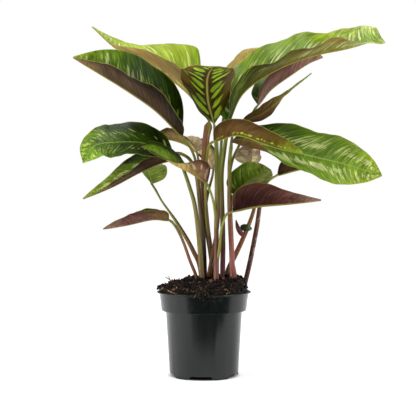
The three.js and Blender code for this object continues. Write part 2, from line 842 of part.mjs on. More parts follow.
const plant = new THREE.Group();
function addPart(name, geometry, material) {
  const mesh = new THREE.Mesh(geometry, material);
  mesh.name = name;
  plant.add(mesh);
}
addPart("pot", potGeometry(), PLASTIC);
addPart("soil", soilGeometry(), SOIL);
for (const [name, stalks] of Object.entries(SHOOTS)) addPart(name, shootGeometry(stalks), STALK);
for (const [name, leaf] of Object.entries(LEAVES)) addPart(`blade_${name}`, bladeGeometry(leaf), GREEN);

export default plant;
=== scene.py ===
"""A potted calathea: twenty waved leaves on eleven shoots, in soil in a thin nursery pot. Front is -Y."""
import math
import random
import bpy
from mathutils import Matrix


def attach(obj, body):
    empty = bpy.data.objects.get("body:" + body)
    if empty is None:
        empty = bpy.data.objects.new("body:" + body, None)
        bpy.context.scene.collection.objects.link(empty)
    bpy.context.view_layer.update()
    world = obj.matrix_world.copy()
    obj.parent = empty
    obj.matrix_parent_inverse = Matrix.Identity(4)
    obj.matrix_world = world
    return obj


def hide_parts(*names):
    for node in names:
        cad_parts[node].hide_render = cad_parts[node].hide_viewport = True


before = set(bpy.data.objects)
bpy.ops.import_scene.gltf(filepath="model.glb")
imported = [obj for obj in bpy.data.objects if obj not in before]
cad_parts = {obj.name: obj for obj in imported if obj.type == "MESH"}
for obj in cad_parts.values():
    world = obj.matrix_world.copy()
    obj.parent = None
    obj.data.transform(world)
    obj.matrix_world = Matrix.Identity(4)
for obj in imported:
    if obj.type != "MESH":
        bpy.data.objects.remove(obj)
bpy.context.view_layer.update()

from types import SimpleNamespace

import bpy
import numpy as np
from mathutils import Vector, noise

MM = 0.001

# Blades and stalks, in millimetres

# Share of a blade's full half width, at even steps from its base to its drip tip
OUTLINE = [0.045, 0.58, 0.84, 0.96, 1.0, 0.99, 0.96, 0.89, 0.78, 0.6, 0.34, 0.03]
SLIM_OUTLINE = [0.045, 0.55, 0.87, 0.98, 1.0, 0.95, 0.81, 0.64, 0.48, 0.32, 0.17, 0.03]
BLUNT_OUTLINE = [0.045, 0.62, 0.86, 0.97, 1.0, 1.0, 1.0, 0.97, 0.9, 0.77, 0.5, 0.03]
SQUARE_OUTLINE = [0.045, 0.62, 0.86, 0.97, 1.0, 1.0, 1.0, 0.98, 0.97, 0.93, 0.86, 0.5]
TAPERED_OUTLINE = [0.045, 0.57, 0.86, 0.97, 1.0, 0.98, 0.91, 0.78, 0.63, 0.46, 0.26, 0.03]

# midrib: points from base to tip. face: the ways the upper side looks. half: the half width. wave: height,
# number and phase of the margin's waves. left and right, seen from above with the tip ahead. fold and curl:
# degrees from base to tip. lobe: how far the base lobe reaches back.
LEAVES = {
    "a": dict(
        midrib=[[-28, 0, 309], [-60, -10, 340], [-95, -22, 363.5], [-130, -32, 384], [-163, -40, 403]],
        face=[[0, -0.515, 0.857]],
        half=49, wave=[2, 3, 0.4],
        left=dict(fold=[48, 47, 46], curl=[0]), right=dict(fold=[18, 40, 49, 49], curl=[0], lobe=-0.1),
    ),
    "b": dict(
        midrib=[[13, -8, 323], [6, -30, 347], [4, -70, 366], [6, -120, 372], [11, -170, 372]],
        face=[[0, 0.9, 0.4], [0, 0.4, 0.9], [0, 0.1, 1]],
        half=37, wave=[2, 3, 1.4],
        left=dict(fold=[48, 28, 12, 8], curl=[8]), right=dict(fold=[55, 32, 12, 8], curl=[8]),
    ),
    "c": dict(
        midrib=[[7, 26, 330], [-21, 36, 368], [-59, 44, 398], [-112, 50, 426], [-151, 56, 460]],
        face=[[0, -0.64, 0.77], [0, -0.31, 0.95], [0, -0.14, 0.99]],
        half=53, outline=SLIM_OUTLINE, wave=[2, 3, 2.1],
        left=dict(fold=[57, 47, 29, 6], curl=[5]),
        right=dict(fold=[58, 41, 34, 9], curl=[60, 40, 5, 5], lobe=-1.3),
    ),
    "d": dict(
        midrib=[[31, 14, 327], [50, 12, 366], [91, 6, 394], [139, 0, 412], [188, -4, 422], [228, -6, 434]],
        face=[[0, -0.22, 0.97], [0, -0.41, 0.91], [0, -0.37, 0.93]],
        half=40, outline=SQUARE_OUTLINE, wave=[3.5, 5, 1.9],
        left=dict(fold=[42, 39, 36, 22, 28], curl=[5]), right=dict(fold=[42, 40, 32, 34, -8], curl=[0]),
    ),
    "e": dict(
        midrib=[[26, 30, 342], [35, 45, 378], [50, 60, 407], [74, 72, 434]],
        face=[[0, 0.5, 0.85], [0, 0.3, 0.95]],
        half=26, wave=[1.5, 2, 0.9],
        left=dict(fold=[35], curl=[5]), right=dict(fold=[26], curl=[5]),
    ),
    "f": dict(
        midrib=[[71, 34, 353], [88, 37, 374], [115.5, 41, 394], [140, 45, 410], [159, 47, 417.5]],
        face=[[0, -0.1, 1]],
        half=24, outline=BLUNT_OUTLINE, wave=[1.5, 2, 0.1],
        left=dict(fold=[45], curl=[5]), right=dict(fold=[45], curl=[5], lobe=0.1),
    ),
    "g": dict(
        midrib=[[50, 8, 329], [77, 8, 340.5], [105, 10, 364], [140, 14, 391.5]],
        face=[[0, 0.5, 0.87], [0, 0.4, 0.92], [0, -0.2, 0.97]],
        half=11, outline=SLIM_OUTLINE, wave=[1.5, 2, 0.5],
        left=dict(fold=[-25, -20, 0], curl=[5]), right=dict(fold=[5], curl=[5]),
    ),
    "h": dict(
        midrib=[[13, -32, 300], [42, -55, 306], [71, -75, 295], [95, -88, 286], [118, -98, 280]],
        face=[[0, 0.28, 0.96]],
        half=26, wave=[1.5, 2, 0.5],
        left=dict(fold=[26], curl=[0]), right=dict(fold=[32], curl=[0]),
    ),
    "w": dict(
        midrib=[[36, -4, 301], [84, -20, 294], [131, -34, 281], [177, -44, 269], [220, -52, 255]],
        face=[[0, -0.6, 0.8], [0, -0.64, 0.77]],
        half=44, outline=BLUNT_OUTLINE, wave=[2.5, 3, 1.5],
        left=dict(fold=[10, 13, 9], curl=[0]),
        right=dict(fold=[-10, -10, -4, 0, 0], curl=[115, 85, 25, -5, -10]),
    ),
    "i": dict(
        midrib=[[98, 36, 260], [129, 50, 268], [164, 66, 272], [194, 80, 273]],
        face=[[0, 0.2, 0.98]],
        half=30, wave=[1.5, 2, 0.5],
        left=dict(fold=[6], curl=[0]), right=dict(fold=[45], curl=[0], lobe=0.6),
    ),
    "j": dict(
        midrib=[[38, 8, 233], [55, 14, 249], [71, 20, 258], [88, 28, 266]],
        face=[[-0.3, -0.8, 0.5]],
        half=24, outline=BLUNT_OUTLINE, wave=[1.5, 2, 0.5],
        left=dict(fold=[15], curl=[5]), right=dict(fold=[15], curl=[5]),
    ),
    "k": dict(
        midrib=[[37, -14, 212], [68, -24, 218], [106, -34, 221], [146, -42, 225]],
        face=[[0, 0.1, 1]],
        half=30, outline=SLIM_OUTLINE, wave=[1.5, 2, 0.5],
        left=dict(fold=[46], curl=[5]), right=dict(fold=[62, 66, 60], curl=[0]),
    ),
    "l": dict(
        midrib=[[-40, -22, 286], [-78, -32, 297], [-113, -40, 297], [-136, -45, 292], [-150, -48, 271]],
        face=[[0, -0.59, 0.81], [0, -0.59, 0.81], [-0.6, -0.6, 0.5]],
        half=36, outline=BLUNT_OUTLINE, wave=[1.5, 3, 0.5],
        left=dict(fold=[9, 4, 0], curl=[0]), right=dict(fold=[16, 14, 2, -12], curl=[0]),
    ),
    "m": dict(
        midrib=[[4, -24, 247], [-17, -38, 261], [-39, -50, 272], [-58, -62, 284], [-75, -72, 290]],
        face=[[0, 0.57, 0.82], [0, 0.09, 1], [0, -0.47, 0.88], [0, -0.57, 0.82], [0, -0.57, 0.82]],
        half=26, wave=[1.5, 2, 0.5],
        left=dict(fold=[45, 38, 22, 12, 5], curl=[0]), right=dict(fold=[45, 30, 15, 10, 8], curl=[5]),
    ),
    "n": dict(
        midrib=[[-36, 8, 280], [-58, 7, 274], [-86, 5, 261], [-119, 2, 243], [-156, -2, 227]],
        face=[[0, -0.48, 0.87], [0, -0.52, 0.85], [0, -0.57, 0.82]],
        half=24, outline=TAPERED_OUTLINE, wave=[1.5, 3, 0.5],
        left=dict(fold=[57, 54, 42], curl=[0]), right=dict(fold=[57, 48, 40], curl=[0]),
    ),
    "o": dict(
        midrib=[[-68, 18, 247], [-75, 40, 264], [-79, 66, 274], [-78, 92, 278]],
        face=[[0, -0.6, 0.8], [0, -0.3, 0.95]],
        half=26, wave=[1.2, 2, 0.5],
        left=dict(fold=[50], curl=[5]), right=dict(fold=[0], curl=[5]),
    ),
    "p": dict(
        midrib=[[-45, -10, 201], [-66, -16, 202], [-96, -22, 195], [-127, -28, 189]],
        face=[[0, -0.15, 1], [0, 0.05, 1]],
        half=20, wave=[1.2, 2, 0.5],
        left=dict(fold=[40], curl=[0]), right=dict(fold=[33], curl=[0]),
    ),
    "q": dict(
        midrib=[[-9, 26, 290], [-24, 40, 301], [-43, 56, 308], [-65, 72, 311]],
        face=[[0, 0.2, 0.98]],
        half=26, wave=[1.5, 2, 0.5],
        left=dict(fold=[25], curl=[5]), right=dict(fold=[25], curl=[5]),
    ),
    "r": dict(
        midrib=[[13, 44, 269], [6, 54, 284], [-4, 66, 299], [-14, 78, 307]],
        face=[[0, 0.9, 0.3]],
        half=14, wave=[1.5, 2, 0.5],
        left=dict(fold=[25], curl=[5]), right=dict(fold=[25], curl=[5]),
    ),
    "s": dict(
        midrib=[[61, 34, 273], [63, 37, 289], [61, 46, 305], [56, 60, 316]],
        face=[[0, 0.95, 0.3]],
        half=26, wave=[1.5, 2, 0.5],
        left=dict(fold=[60], curl=[5]), right=dict(fold=[25], curl=[5]),
    ),
}

# Stalks from the soil or a fork up to the blade that leaf names, with their radii from first point to last
SHOOTS = {
    "shoot_01": [
        dict(
            leaf="p", radius=[2.2, 2, 1.5],
            path=[
                [-5, -8, 110], [-10, -8, 128], [-18, -9, 148], [-25, -10, 168], [-32, -11, 184],
                [-39, -11, 195],
            ],
        ),
    ],
    "shoot_02": [
        dict(
            leaf="o", radius=[3.2, 3, 2.6, 1.4, 1.4],
            path=[
                [-1.5, -1, 107], [-3, -1, 125], [-6.5, -1, 144], [-13, -1, 158], [-20, 0, 171.5],
                [-28.5, 3, 185.5], [-37, 6, 199], [-46, 9, 211.5], [-55, 12, 224], [-63, 16, 238],
            ],
        ),
    ],
    "shoot_03": [
        dict(
            leaf="n", radius=[3.2, 3, 2.4, 1.4],
            path=[
                [0, -12, 108], [-2.5, -12, 129], [-5, -12, 161], [-7.5, -11, 189], [-12, -8, 220],
                [-18.5, -3, 242], [-25, 2, 261], [-30, 6, 272],
            ],
        ),
    ],
    "shoot_04": [
        dict(
            leaf="l", radius=[3, 3, 1.5],
            path=[
                [1.5, 9.5, 106], [1, 8, 132], [0, 6, 161], [-2, 4, 189], [-5, 2, 219], [-7, 0, 241],
                [-10.5, -2, 261], [-18, -6, 277], [-29, -14, 284],
            ],
        ),
        dict(
            leaf="a", radius=[2, 1.8, 1.5],
            path=[
                [-2, 4, 189], [-4.5, 4, 215], [-6, 5, 238], [-8, 6, 258], [-11, 6, 276], [-15.5, 4, 289],
                [-22, 2, 299],
            ],
        ),
    ],
    "shoot_05": [
        dict(
            leaf="c", radius=[3.2, 3.8, 4.4, 5],
            path=[
                [13, 8, 106], [11.5, 8, 134], [8.5, 8, 160], [4.5, 8, 186], [1.5, 9, 215], [0, 10, 241],
                [0, 11, 264], [1.5, 15, 288], [3, 20, 308], [5.5, 24, 322],
            ],
        ),
        dict(
            leaf="h", radius=[2, 1.5],
            path=[
                [6, 7, 176], [3.5, 2, 197], [2.5, -4, 219], [2, -9, 238], [2.5, -14, 257], [3.5, -20, 275],
                [5, -26, 289], [8.5, -30, 296],
            ],
        ),
        dict(
            leaf="q", radius=[2, 1.4],
            path=[[2, 9, 210], [-2, 15, 239], [-5.5, 20, 265], [-8, 24, 281]],
        ),
        dict(
            leaf="r", radius=[2, 1.4],
            path=[[1.5, 9, 215], [6, 20, 238], [11, 32, 257]],
        ),
    ],
    "shoot_06": [
        dict(
            leaf="e", radius=[3, 2.4, 1.5],
            path=[
                [5, 2.5, 107], [7, 1, 131], [12.5, 1, 161], [16, 4, 181], [19, 8, 210], [20, 12, 238],
                [21, 18, 271], [23, 24, 304], [25, 28, 329],
            ],
        ),
    ],
    "shoot_07": [
        dict(
            leaf="b", radius=[3.6, 3, 2.8, 2.6],
            path=[
                [15.5, -16, 107], [16, -15, 136], [16, -14, 168], [16, -13, 200], [16.5, -12, 228],
                [16.5, -11, 253], [16.5, -10, 279], [15.5, -9, 303],
            ],
        ),
        dict(
            leaf="m", radius=[1.8, 1.4],
            path=[[16, -14, 184], [14.5, -16, 207], [12, -18, 223], [8.5, -21, 235]],
        ),
        dict(
            leaf="k", radius=[1.8, 1.4],
            path=[[17.5, -15, 146], [20, -18, 167], [21.5, -18, 183], [24.5, -17, 197], [29, -15, 207]],
        ),
    ],
    "shoot_08": [
        dict(
            leaf="d", radius=[3.4, 3, 2.3],
            path=[
                [24, -8, 106], [24, -7, 135], [24.5, -6, 167], [24, -5, 200], [23, -4, 232], [23, -1, 261],
                [26.5, 5, 290], [29.5, 11, 311],
            ],
        ),
    ],
    "shoot_09": [
        dict(
            leaf="w", radius=[3.6, 3.1, 1.8],
            path=[
                [37, -12, 104], [36.5, -11, 129], [35.5, -10, 161], [34, -9, 193], [33, -8, 225],
                [33, -7, 251], [33, -6, 274], [34.5, -5, 290],
            ],
        ),
        dict(
            leaf="j", radius=[1.8, 1.4],
            path=[[34, -9, 193], [34.5, -6, 210], [35.5, 1, 223]],
        ),
        dict(
            leaf="g", radius=[2, 1.4],
            path=[[33, -7, 251], [33.5, -2, 277], [35.5, 4, 301], [40.5, 7, 322]],
        ),
        dict(
            leaf="f", radius=[2, 1.4],
            path=[[33, -6, 261], [37.5, 5, 279], [47, 15, 299], [57, 24, 322], [65, 30, 342]],
        ),
        dict(
            radius=[2.2, 2.4, 0.8],
            path=[[39.5, -12.5, 106], [40.5, -13, 121], [39, -12.5, 136], [37.5, -12, 148]],
        ),
    ],
    "shoot_10": [
        dict(
            leaf="s", radius=[3.2, 3.2, 2.2, 1.6],
            path=[
                [26, 12, 106], [31, 11, 133], [40.5, 10, 153], [49, 11, 171], [58, 13, 192], [65.5, 17, 214],
                [67.5, 23, 235], [64.5, 29, 256],
            ],
        ),
        dict(
            radius=[2.4, 3.4, 2.6, 0.7],
            path=[[52, 11, 178], [47, 9.5, 184], [43.5, 8.5, 191], [41.5, 8, 199.5]],
        ),
        dict(
            radius=[2.6, 4.6, 4.2, 1],
            path=[[47.5, 12, 190], [52, 12.5, 189.5], [58, 13, 188.5], [62.5, 13, 188]],
        ),
    ],
    "shoot_11": [
        dict(
            leaf="i", radius=[3.2, 3, 1.4],
            path=[
                [50, 6, 105], [54.5, 6, 123], [59.5, 7, 144], [64.5, 9, 168], [69.5, 12, 194], [73, 16, 218],
                [77, 22, 237], [85, 29, 251],
            ],
        ),
    ],
}

# Measures of a blade; its sweep is a share of its length, its lobe a share of its half width
LOBE = 0.3
VEIN_SWEEP = 0.33
VEIN_SPACING = 6.5
PLEAT_DEPTH = 0.32
BLADE_THICK = 0.55
MARGIN_THICK = 0.35
RIB_THICK_BASE = 2.5
RIB_THICK_TIP = 0.8
RIB_REACH = 1.5
RIB_GROOVE = 0.35
GROOVE_REACH = 1.6
RIPPLE = 0.45
CAD_BLADE_THICK = 0.7
CAD_RIB_DEPTH = 2.0

# The grid that a blade is made from: columns across it, more of them on a wide leaf, and rows along it
WIDE_HALF = 28
WIDE_COLUMNS = 28
NARROW_COLUMNS = 20
FEWEST_ROWS = 70
MOST_ROWS = 165

# Measures of a stalk: the joint below its blade, as a share of its length, and its end under the midrib
JOINT_PLACE = 0.9
JOINT_REACH = 0.05
JOINT_SWELL = 0.14
PETIOLE_END_RADIUS = 1.35
PETIOLE_TUCK = 4.0
TUCK_THINNING = 0.35
STALK_SIDES = 18
STALK_ROWS_PER_SPAN = 7
MOTTLED_SHOOT = "shoot_11"

# Measures of the pot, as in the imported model
POT_STEPS = 144
POT_HEIGHT = 108
WALL = 1.2
FOOT_RADIUS = 44
BODY_TOP_RADIUS = 49.1
COLLAR_FOOT = 83.5
COLLAR_FOOT_RADIUS = 54.7
COLLAR_TOP_RADIUS = 57
LIP_RADIUS = 60.5
LIP_THICK = 1.8
FLOOR_RAISE = 5
FLOOR_DISC_RADIUS = 26
NOTCH_COUNT = 5
NOTCH_TURN = -5
NOTCH_FOOT_WIDTH = 38
NOTCH_TOP_WIDTH = 24
NOTCH_REACH = 8
DRAIN_RADIUS = 3.5
DRAIN_CIRCLE = 36
DRAIN_CUT = 6

# The soil's top from the rim inwards: radius, then heights on the right, at the back, on the left and
# in front
SOIL_HEIGHTS = [
    [58.5, 109.5, 109.2, 111.0, 109.0],
    [54, 117.5, 112.5, 114.5, 111],
    [49, 124.5, 116.5, 116.5, 112.5],
    [41, 126.5, 119.5, 118, 115],
    [31, 126.5, 123.5, 120.5, 118.5],
    [20, 125.5, 125.0, 123.5, 122.0],
    [10, 125.5, 125.5, 125.0, 124.5],
    [0, 125, 125, 125, 125],
]
SOIL_RADIUS = 57.5
SOIL_FLOOR = FLOOR_RAISE + WALL + 0.3
SOIL_GAP = 0.6
SOIL_SEGMENTS = 160
SOIL_RINGS = 90
SPILL = 2.6
LUMP_HEIGHT = 1.6
GRIT_HEIGHT = 0.7

# Shares of the ball, from its top pole down, that become the soil's top and its wall
TOP_SHARE = 0.6
WALL_SHARE = 0.85

# Chips of bark, scattered over the soil, in the pile on the lip's left and in the clump down its front; the
# spread of pile and clump is in radians
CHIP_SHAPES = 9
CHIP_SIZES = [0.7, 0.9, 1.2, 1.6, 2.2, 3.0]
SHAPE_SEED = 5
CHIP_SEED = 23
SCATTERED_CHIPS = 950
PILE_CHIPS = 150
PILE_SPREAD = 0.42
PILE_LIFT = 2.5
CLUMP_CHIPS = 70
CLUMP_SPREAD = 0.11
CLUMP_RADIUS = 60.2
CLUMP_DROP = 9

# Fibres scattered over the soil's top: where they may start and how far out they may reach
SCATTERED_FIBRES = 46
FIBRE_SEED = 41
FIBRE_SIDES = 6
FIBRE_START_RADIUS = 56
FIBRE_END_RADIUS = 58

# Fibres given one by one, with their radii: the twig on the left and its two side twigs, the root that runs
# over the lip, and two fine root ends that hang in front
PLACED_FIBRES = [
    ([[-38, -20, 118], [-41, -21, 122], [-45, -22, 125.5], [-49, -22, 127.5]], 0.8),
    ([[-43, -21, 124], [-44, -22, 127.5], [-46, -23, 129.5]], 0.5),
    ([[-40, -21, 121], [-38, -23, 124], [-36.5, -24, 126]], 0.5),
    ([[-46, -38, 113], [-43, -42, 111.5], [-38, -46, 109.6], [-33, -50, 109.2]], 0.9),
    ([[4, -57, 111], [6, -60.6, 109], [6.5, -61, 105]], 0.35),
    ([[-9, -58, 111], [-10, -60.8, 108.6], [-12, -60.6, 104]], 0.35),
]


# Tools for every piece

def srgb(red, green, blue):
    """A colour given as 0 to 255, as linear light."""
    def linear(value):
        share = value / 255
        return share / 12.92 if share <= 0.04045 else ((share + 0.055) / 1.055) ** 2.4
    return (linear(red), linear(green), linear(blue), 1.0)


def deselect():
    if bpy.context.object and bpy.context.object.mode != "OBJECT":
        bpy.ops.object.mode_set(mode="OBJECT")
    bpy.ops.object.select_all(action="DESELECT")


def make_active(piece):
    deselect()
    piece.select_set(True)
    bpy.context.view_layer.objects.active = piece


def named(name):
    """The piece that was just added, under its name."""
    piece = bpy.context.object
    piece.name = name
    piece.data.name = name
    return piece


def mesh_piece(name, points, faces, material):
    """A piece of points in metres and faces, with its finish."""
    mesh = bpy.data.meshes.new(name)
    mesh.from_pydata(points, [], faces)
    piece = bpy.data.objects.new(name, mesh)
    bpy.context.scene.collection.objects.link(piece)
    mesh.materials.append(material)
    return piece


def set_points(piece, points):
    """Puts the piece's vertices at points in millimetres."""
    piece.data.vertices.foreach_set("co", (points * MM).ravel())
    piece.data.update()


def close_skin(fill_ends):
    """In edit mode: joins seams, fills open ends where asked, turns faces outwards, and leaves edit mode."""
    bpy.ops.mesh.select_all(action="SELECT")
    bpy.ops.mesh.remove_doubles(threshold=1e-6)
    bpy.ops.mesh.select_all(action="SELECT")
    if fill_ends:
        bpy.ops.mesh.fill_holes(sides=0)
        bpy.ops.mesh.select_all(action="SELECT")
    bpy.ops.mesh.normals_make_consistent(inside=False)
    bpy.ops.object.mode_set(mode="OBJECT")


def apply_modifier(piece, kind, **settings):
    make_active(piece)
    modifier = piece.modifiers.new(kind.lower(), kind)
    for key, value in settings.items():
        setattr(modifier, key, value)
    bpy.ops.object.modifier_apply(modifier=modifier.name)


def combine(piece, other, operation, **settings):
    """Adds the other piece to this one or cuts it out, and deletes it."""
    apply_modifier(piece, "BOOLEAN", operation=operation, solver="EXACT", object=other, **settings)
    bpy.data.objects.remove(other)


def finish_piece(piece, slot, *nodes, angle=60):
    """Smooth shading, the body that the piece rides on and the nodes that it stands for; slot, its finish, is
    not used.
    """
    make_active(piece)
    bpy.ops.object.shade_smooth_by_angle(angle=math.radians(angle))
    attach(piece, "root")
    if nodes:
        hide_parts(*nodes)
    deselect()


def grid_piece(name, columns, rows):
    """A flat grid, with each vertex's x from -1 to 1 and y from 0 to 1."""
    deselect()
    bpy.ops.mesh.primitive_grid_add(x_subdivisions=columns, y_subdivisions=rows, size=2)
    piece = named(name)
    flat = np.zeros(len(piece.data.vertices) * 3)
    piece.data.vertices.foreach_get("co", flat)
    flat = flat.reshape(-1, 3)
    return piece, flat[:, 0], (flat[:, 1] + 1) / 2


def set_uv(piece, across, along_share):
    """The piece's map: across the surface and along it, from values kept for each vertex."""
    layer = piece.data.uv_layers[0]
    layer.name = "surface"
    corners = np.zeros(len(piece.data.loops), np.int32)
    piece.data.loops.foreach_get("vertex_index", corners)
    layer.data.foreach_set("uv", np.stack([across[corners], along_share[corners]], 1).ravel())


# Curves and blade surfaces

def along(values, t):
    """The smooth curve through evenly spaced values at t; it runs straight on past its ends."""
    values = np.asarray(values, float)
    t = np.asarray(t, float)
    if len(values) == 1:
        return np.zeros(t.shape + values.shape[1:]) + values[0]
    spans = len(values) - 1
    place = t * spans
    i = np.clip(np.floor(place).astype(int), 0, spans - 1)
    u = place - i
    first, final = i == 0, i + 2 > spans
    if values.ndim > 1:
        u, first, final = u[..., None], first[..., None], final[..., None]
    b, c = values[i], values[i + 1]
    a = np.where(first, 2 * b - c, values[np.maximum(i - 1, 0)])
    d = np.where(final, 2 * c - b, values[np.minimum(i + 2, spans)])
    return b + 0.5 * u * (c - a + u * (2 * a - 5 * b + 4 * c - d + u * (3 * b - 3 * c + d - a)))


def unit(vectors):
    return vectors / np.linalg.norm(vectors, axis=-1, keepdims=True)


def off_axis(vectors, axis):
    """The vectors with their share along axis taken out."""
    return vectors - axis * np.sum(vectors * axis, axis=-1, keepdims=True)


def across_path(path, t, lean):
    """Two directions across the path at t; the first leans the way that lean points."""
    ahead = unit(along(path, t + 0.01) - along(path, t - 0.01))
    side = unit(off_axis(np.zeros_like(ahead) + np.array(lean), ahead))
    return side, np.cross(ahead, side)


def blade_frame(leaf, t):
    """The midrib's point, its way ahead, and the ways that the blade faces and that its left half lies."""
    step = 0.002
    ahead = unit(along(leaf["midrib"], t + step) - along(leaf["midrib"], t - step))
    normal = unit(off_axis(along(leaf["face"], t), ahead))
    return along(leaf["midrib"], t), ahead, normal, np.cross(normal, ahead)


def margin_wave(leaf, t, across, leftward):
    """How far the margin's waves and its ripple lift the blade."""
    height, count, phase = leaf["wave"]
    inside = np.sin(np.pi * np.clip(t, 0, 1))
    swing = np.sin(2 * np.pi * count * t + phase + np.where(leftward, 0, 2.2))
    wave = height * swing * across**2 * inside
    side = np.where(leftward, 1.0, -1.0)
    return wave + RIPPLE * np.sin(2 * np.pi * 3.3 * count * t + 5 * phase + 4 * side) * across**4 * inside


def blade_points(leaf, t, s):
    """A blade's upper side in millimetres. s runs from -1 at the right margin to 1 at the left margin."""
    place, ahead, normal, left = blade_frame(leaf, t)
    half = leaf["half"] * np.maximum(along(leaf.get("outline", OUTLINE), t), 0.02)
    across = np.abs(s)
    leftward = s > 0

    def of_side(key):
        return np.where(leftward, along(leaf["left"][key], t), along(leaf["right"][key], t))

    fold = np.radians(of_side("fold"))
    curl = np.radians(of_side("curl"))
    curl = np.where(np.abs(curl) < 1e-6, 1e-6, curl)
    lobe = np.where(leftward, leaf["left"].get("lobe", LOBE), leaf["right"].get("lobe", LOBE))
    angle = fold + curl * across
    out = (np.sin(angle) - np.sin(fold)) / curl
    up = (np.cos(fold) - np.cos(angle)) / curl
    wave = margin_wave(leaf, t, across, leftward)
    back = lobe * half * across * np.maximum(1 - 1.6 * t, 0) ** 2
    sideways = np.where(leftward, 1.0, -1.0) * (half * out - wave * np.sin(angle))
    upward = half * up + wave * np.cos(angle)
    return place + left * sideways[..., None] + normal * upward[..., None] - ahead * back[..., None]


def blade_length(leaf):
    steps = along(leaf["midrib"], np.linspace(0, 1, 60))
    return float(np.sum(np.linalg.norm(np.diff(steps, axis=0), axis=1)))


def vein_count(leaf):
    return max(int(blade_length(leaf) / VEIN_SPACING), 9)


def grid_normals(points, x, y, rows, columns):
    """The ways that the upper side faces at a grid's points."""
    order = np.lexsort((-x, y))
    grid = points[order].reshape(rows + 1, columns + 1, 3)
    normals = np.zeros_like(points)
    normals[order] = -unit(np.cross(np.gradient(grid, axis=1), np.gradient(grid, axis=0))).reshape(-1, 3)
    return normals


def blade_relief(leaf, vein, t, s):
    """How far the upper side rises in pleats between the side veins and sinks along the midrib."""
    across = np.abs(s)
    side = np.where(s > 0, 0.0, 0.5)
    ends = np.clip(np.minimum(t / 0.08, (1 - t) / 0.1), 0, 1)
    bulge = np.abs(np.sin(np.pi * (vein * vein_count(leaf) + side))) ** 0.7 - 0.5
    pleat = PLEAT_DEPTH * bulge * np.clip(across / 0.25, 0, 1) * np.clip((1 - across) / 0.12, 0, 1) * ends
    groove = -RIB_GROOVE * np.exp(-((across * leaf["half"] / GROOVE_REACH) ** 2)) * ends
    return pleat + groove


def add_thickness(piece, leaf, across, t):
    """Gives the blade its thickness downwards, with the midrib raised underneath."""
    most = BLADE_THICK + RIB_THICK_BASE
    rib = RIB_THICK_BASE + (RIB_THICK_TIP - RIB_THICK_BASE) * t
    rib = rib * np.exp(-((across * leaf["half"] / RIB_REACH) ** 2))
    body = BLADE_THICK + (MARGIN_THICK - BLADE_THICK) * across**3
    group = piece.vertex_groups.new(name="thickness")
    for index, weight in enumerate((body + rib) / most):
        group.add([index], float(min(weight, 1)), "REPLACE")
    apply_modifier(
        piece,
        "SOLIDIFY",
        thickness=most * MM,
        offset=-1,
        use_rim=True,
        vertex_group="thickness",
        material_offset=1,
        material_offset_rim=0,
    )


def make_blade(letter, leaf):
    """A blade: a grid laid on the leaf's surface, pleated along its veins and given its thickness."""
    columns = WIDE_COLUMNS if leaf["half"] > WIDE_HALF else NARROW_COLUMNS
    rows = int(min(max(blade_length(leaf), FEWEST_ROWS), MOST_ROWS))
    piece, x, y = grid_piece(f"blade_{letter}_dressed", columns, rows)
    # columns crowd by the midrib and rows at both ends, and each row sweeps forward as a side vein does
    s = -np.sign(x) * np.abs(x) ** 1.2
    vein = y - 0.35 * np.sin(2 * np.pi * y) / (2 * np.pi)
    rise = 1 - (1 - np.minimum(vein / 0.3, 1)) ** 2
    t = vein + VEIN_SWEEP * np.abs(s) ** 1.3 * (1 - vein) * rise
    points = blade_points(leaf, t, s)
    relief = blade_relief(leaf, vein, t, s)
    set_points(piece, points + grid_normals(points, x, y, rows, columns) * relief[:, None])
    set_uv(piece, 0.5 + 0.5 * s, vein)
    for skin in (UPPER_SKIN, UNDER_SKIN):
        piece.data.materials.append(blade_material(letter, leaf, skin))
    add_thickness(piece, leaf, np.abs(s), t)
    finish_piece(piece, "leaf", f"blade_{letter}")


# Materials

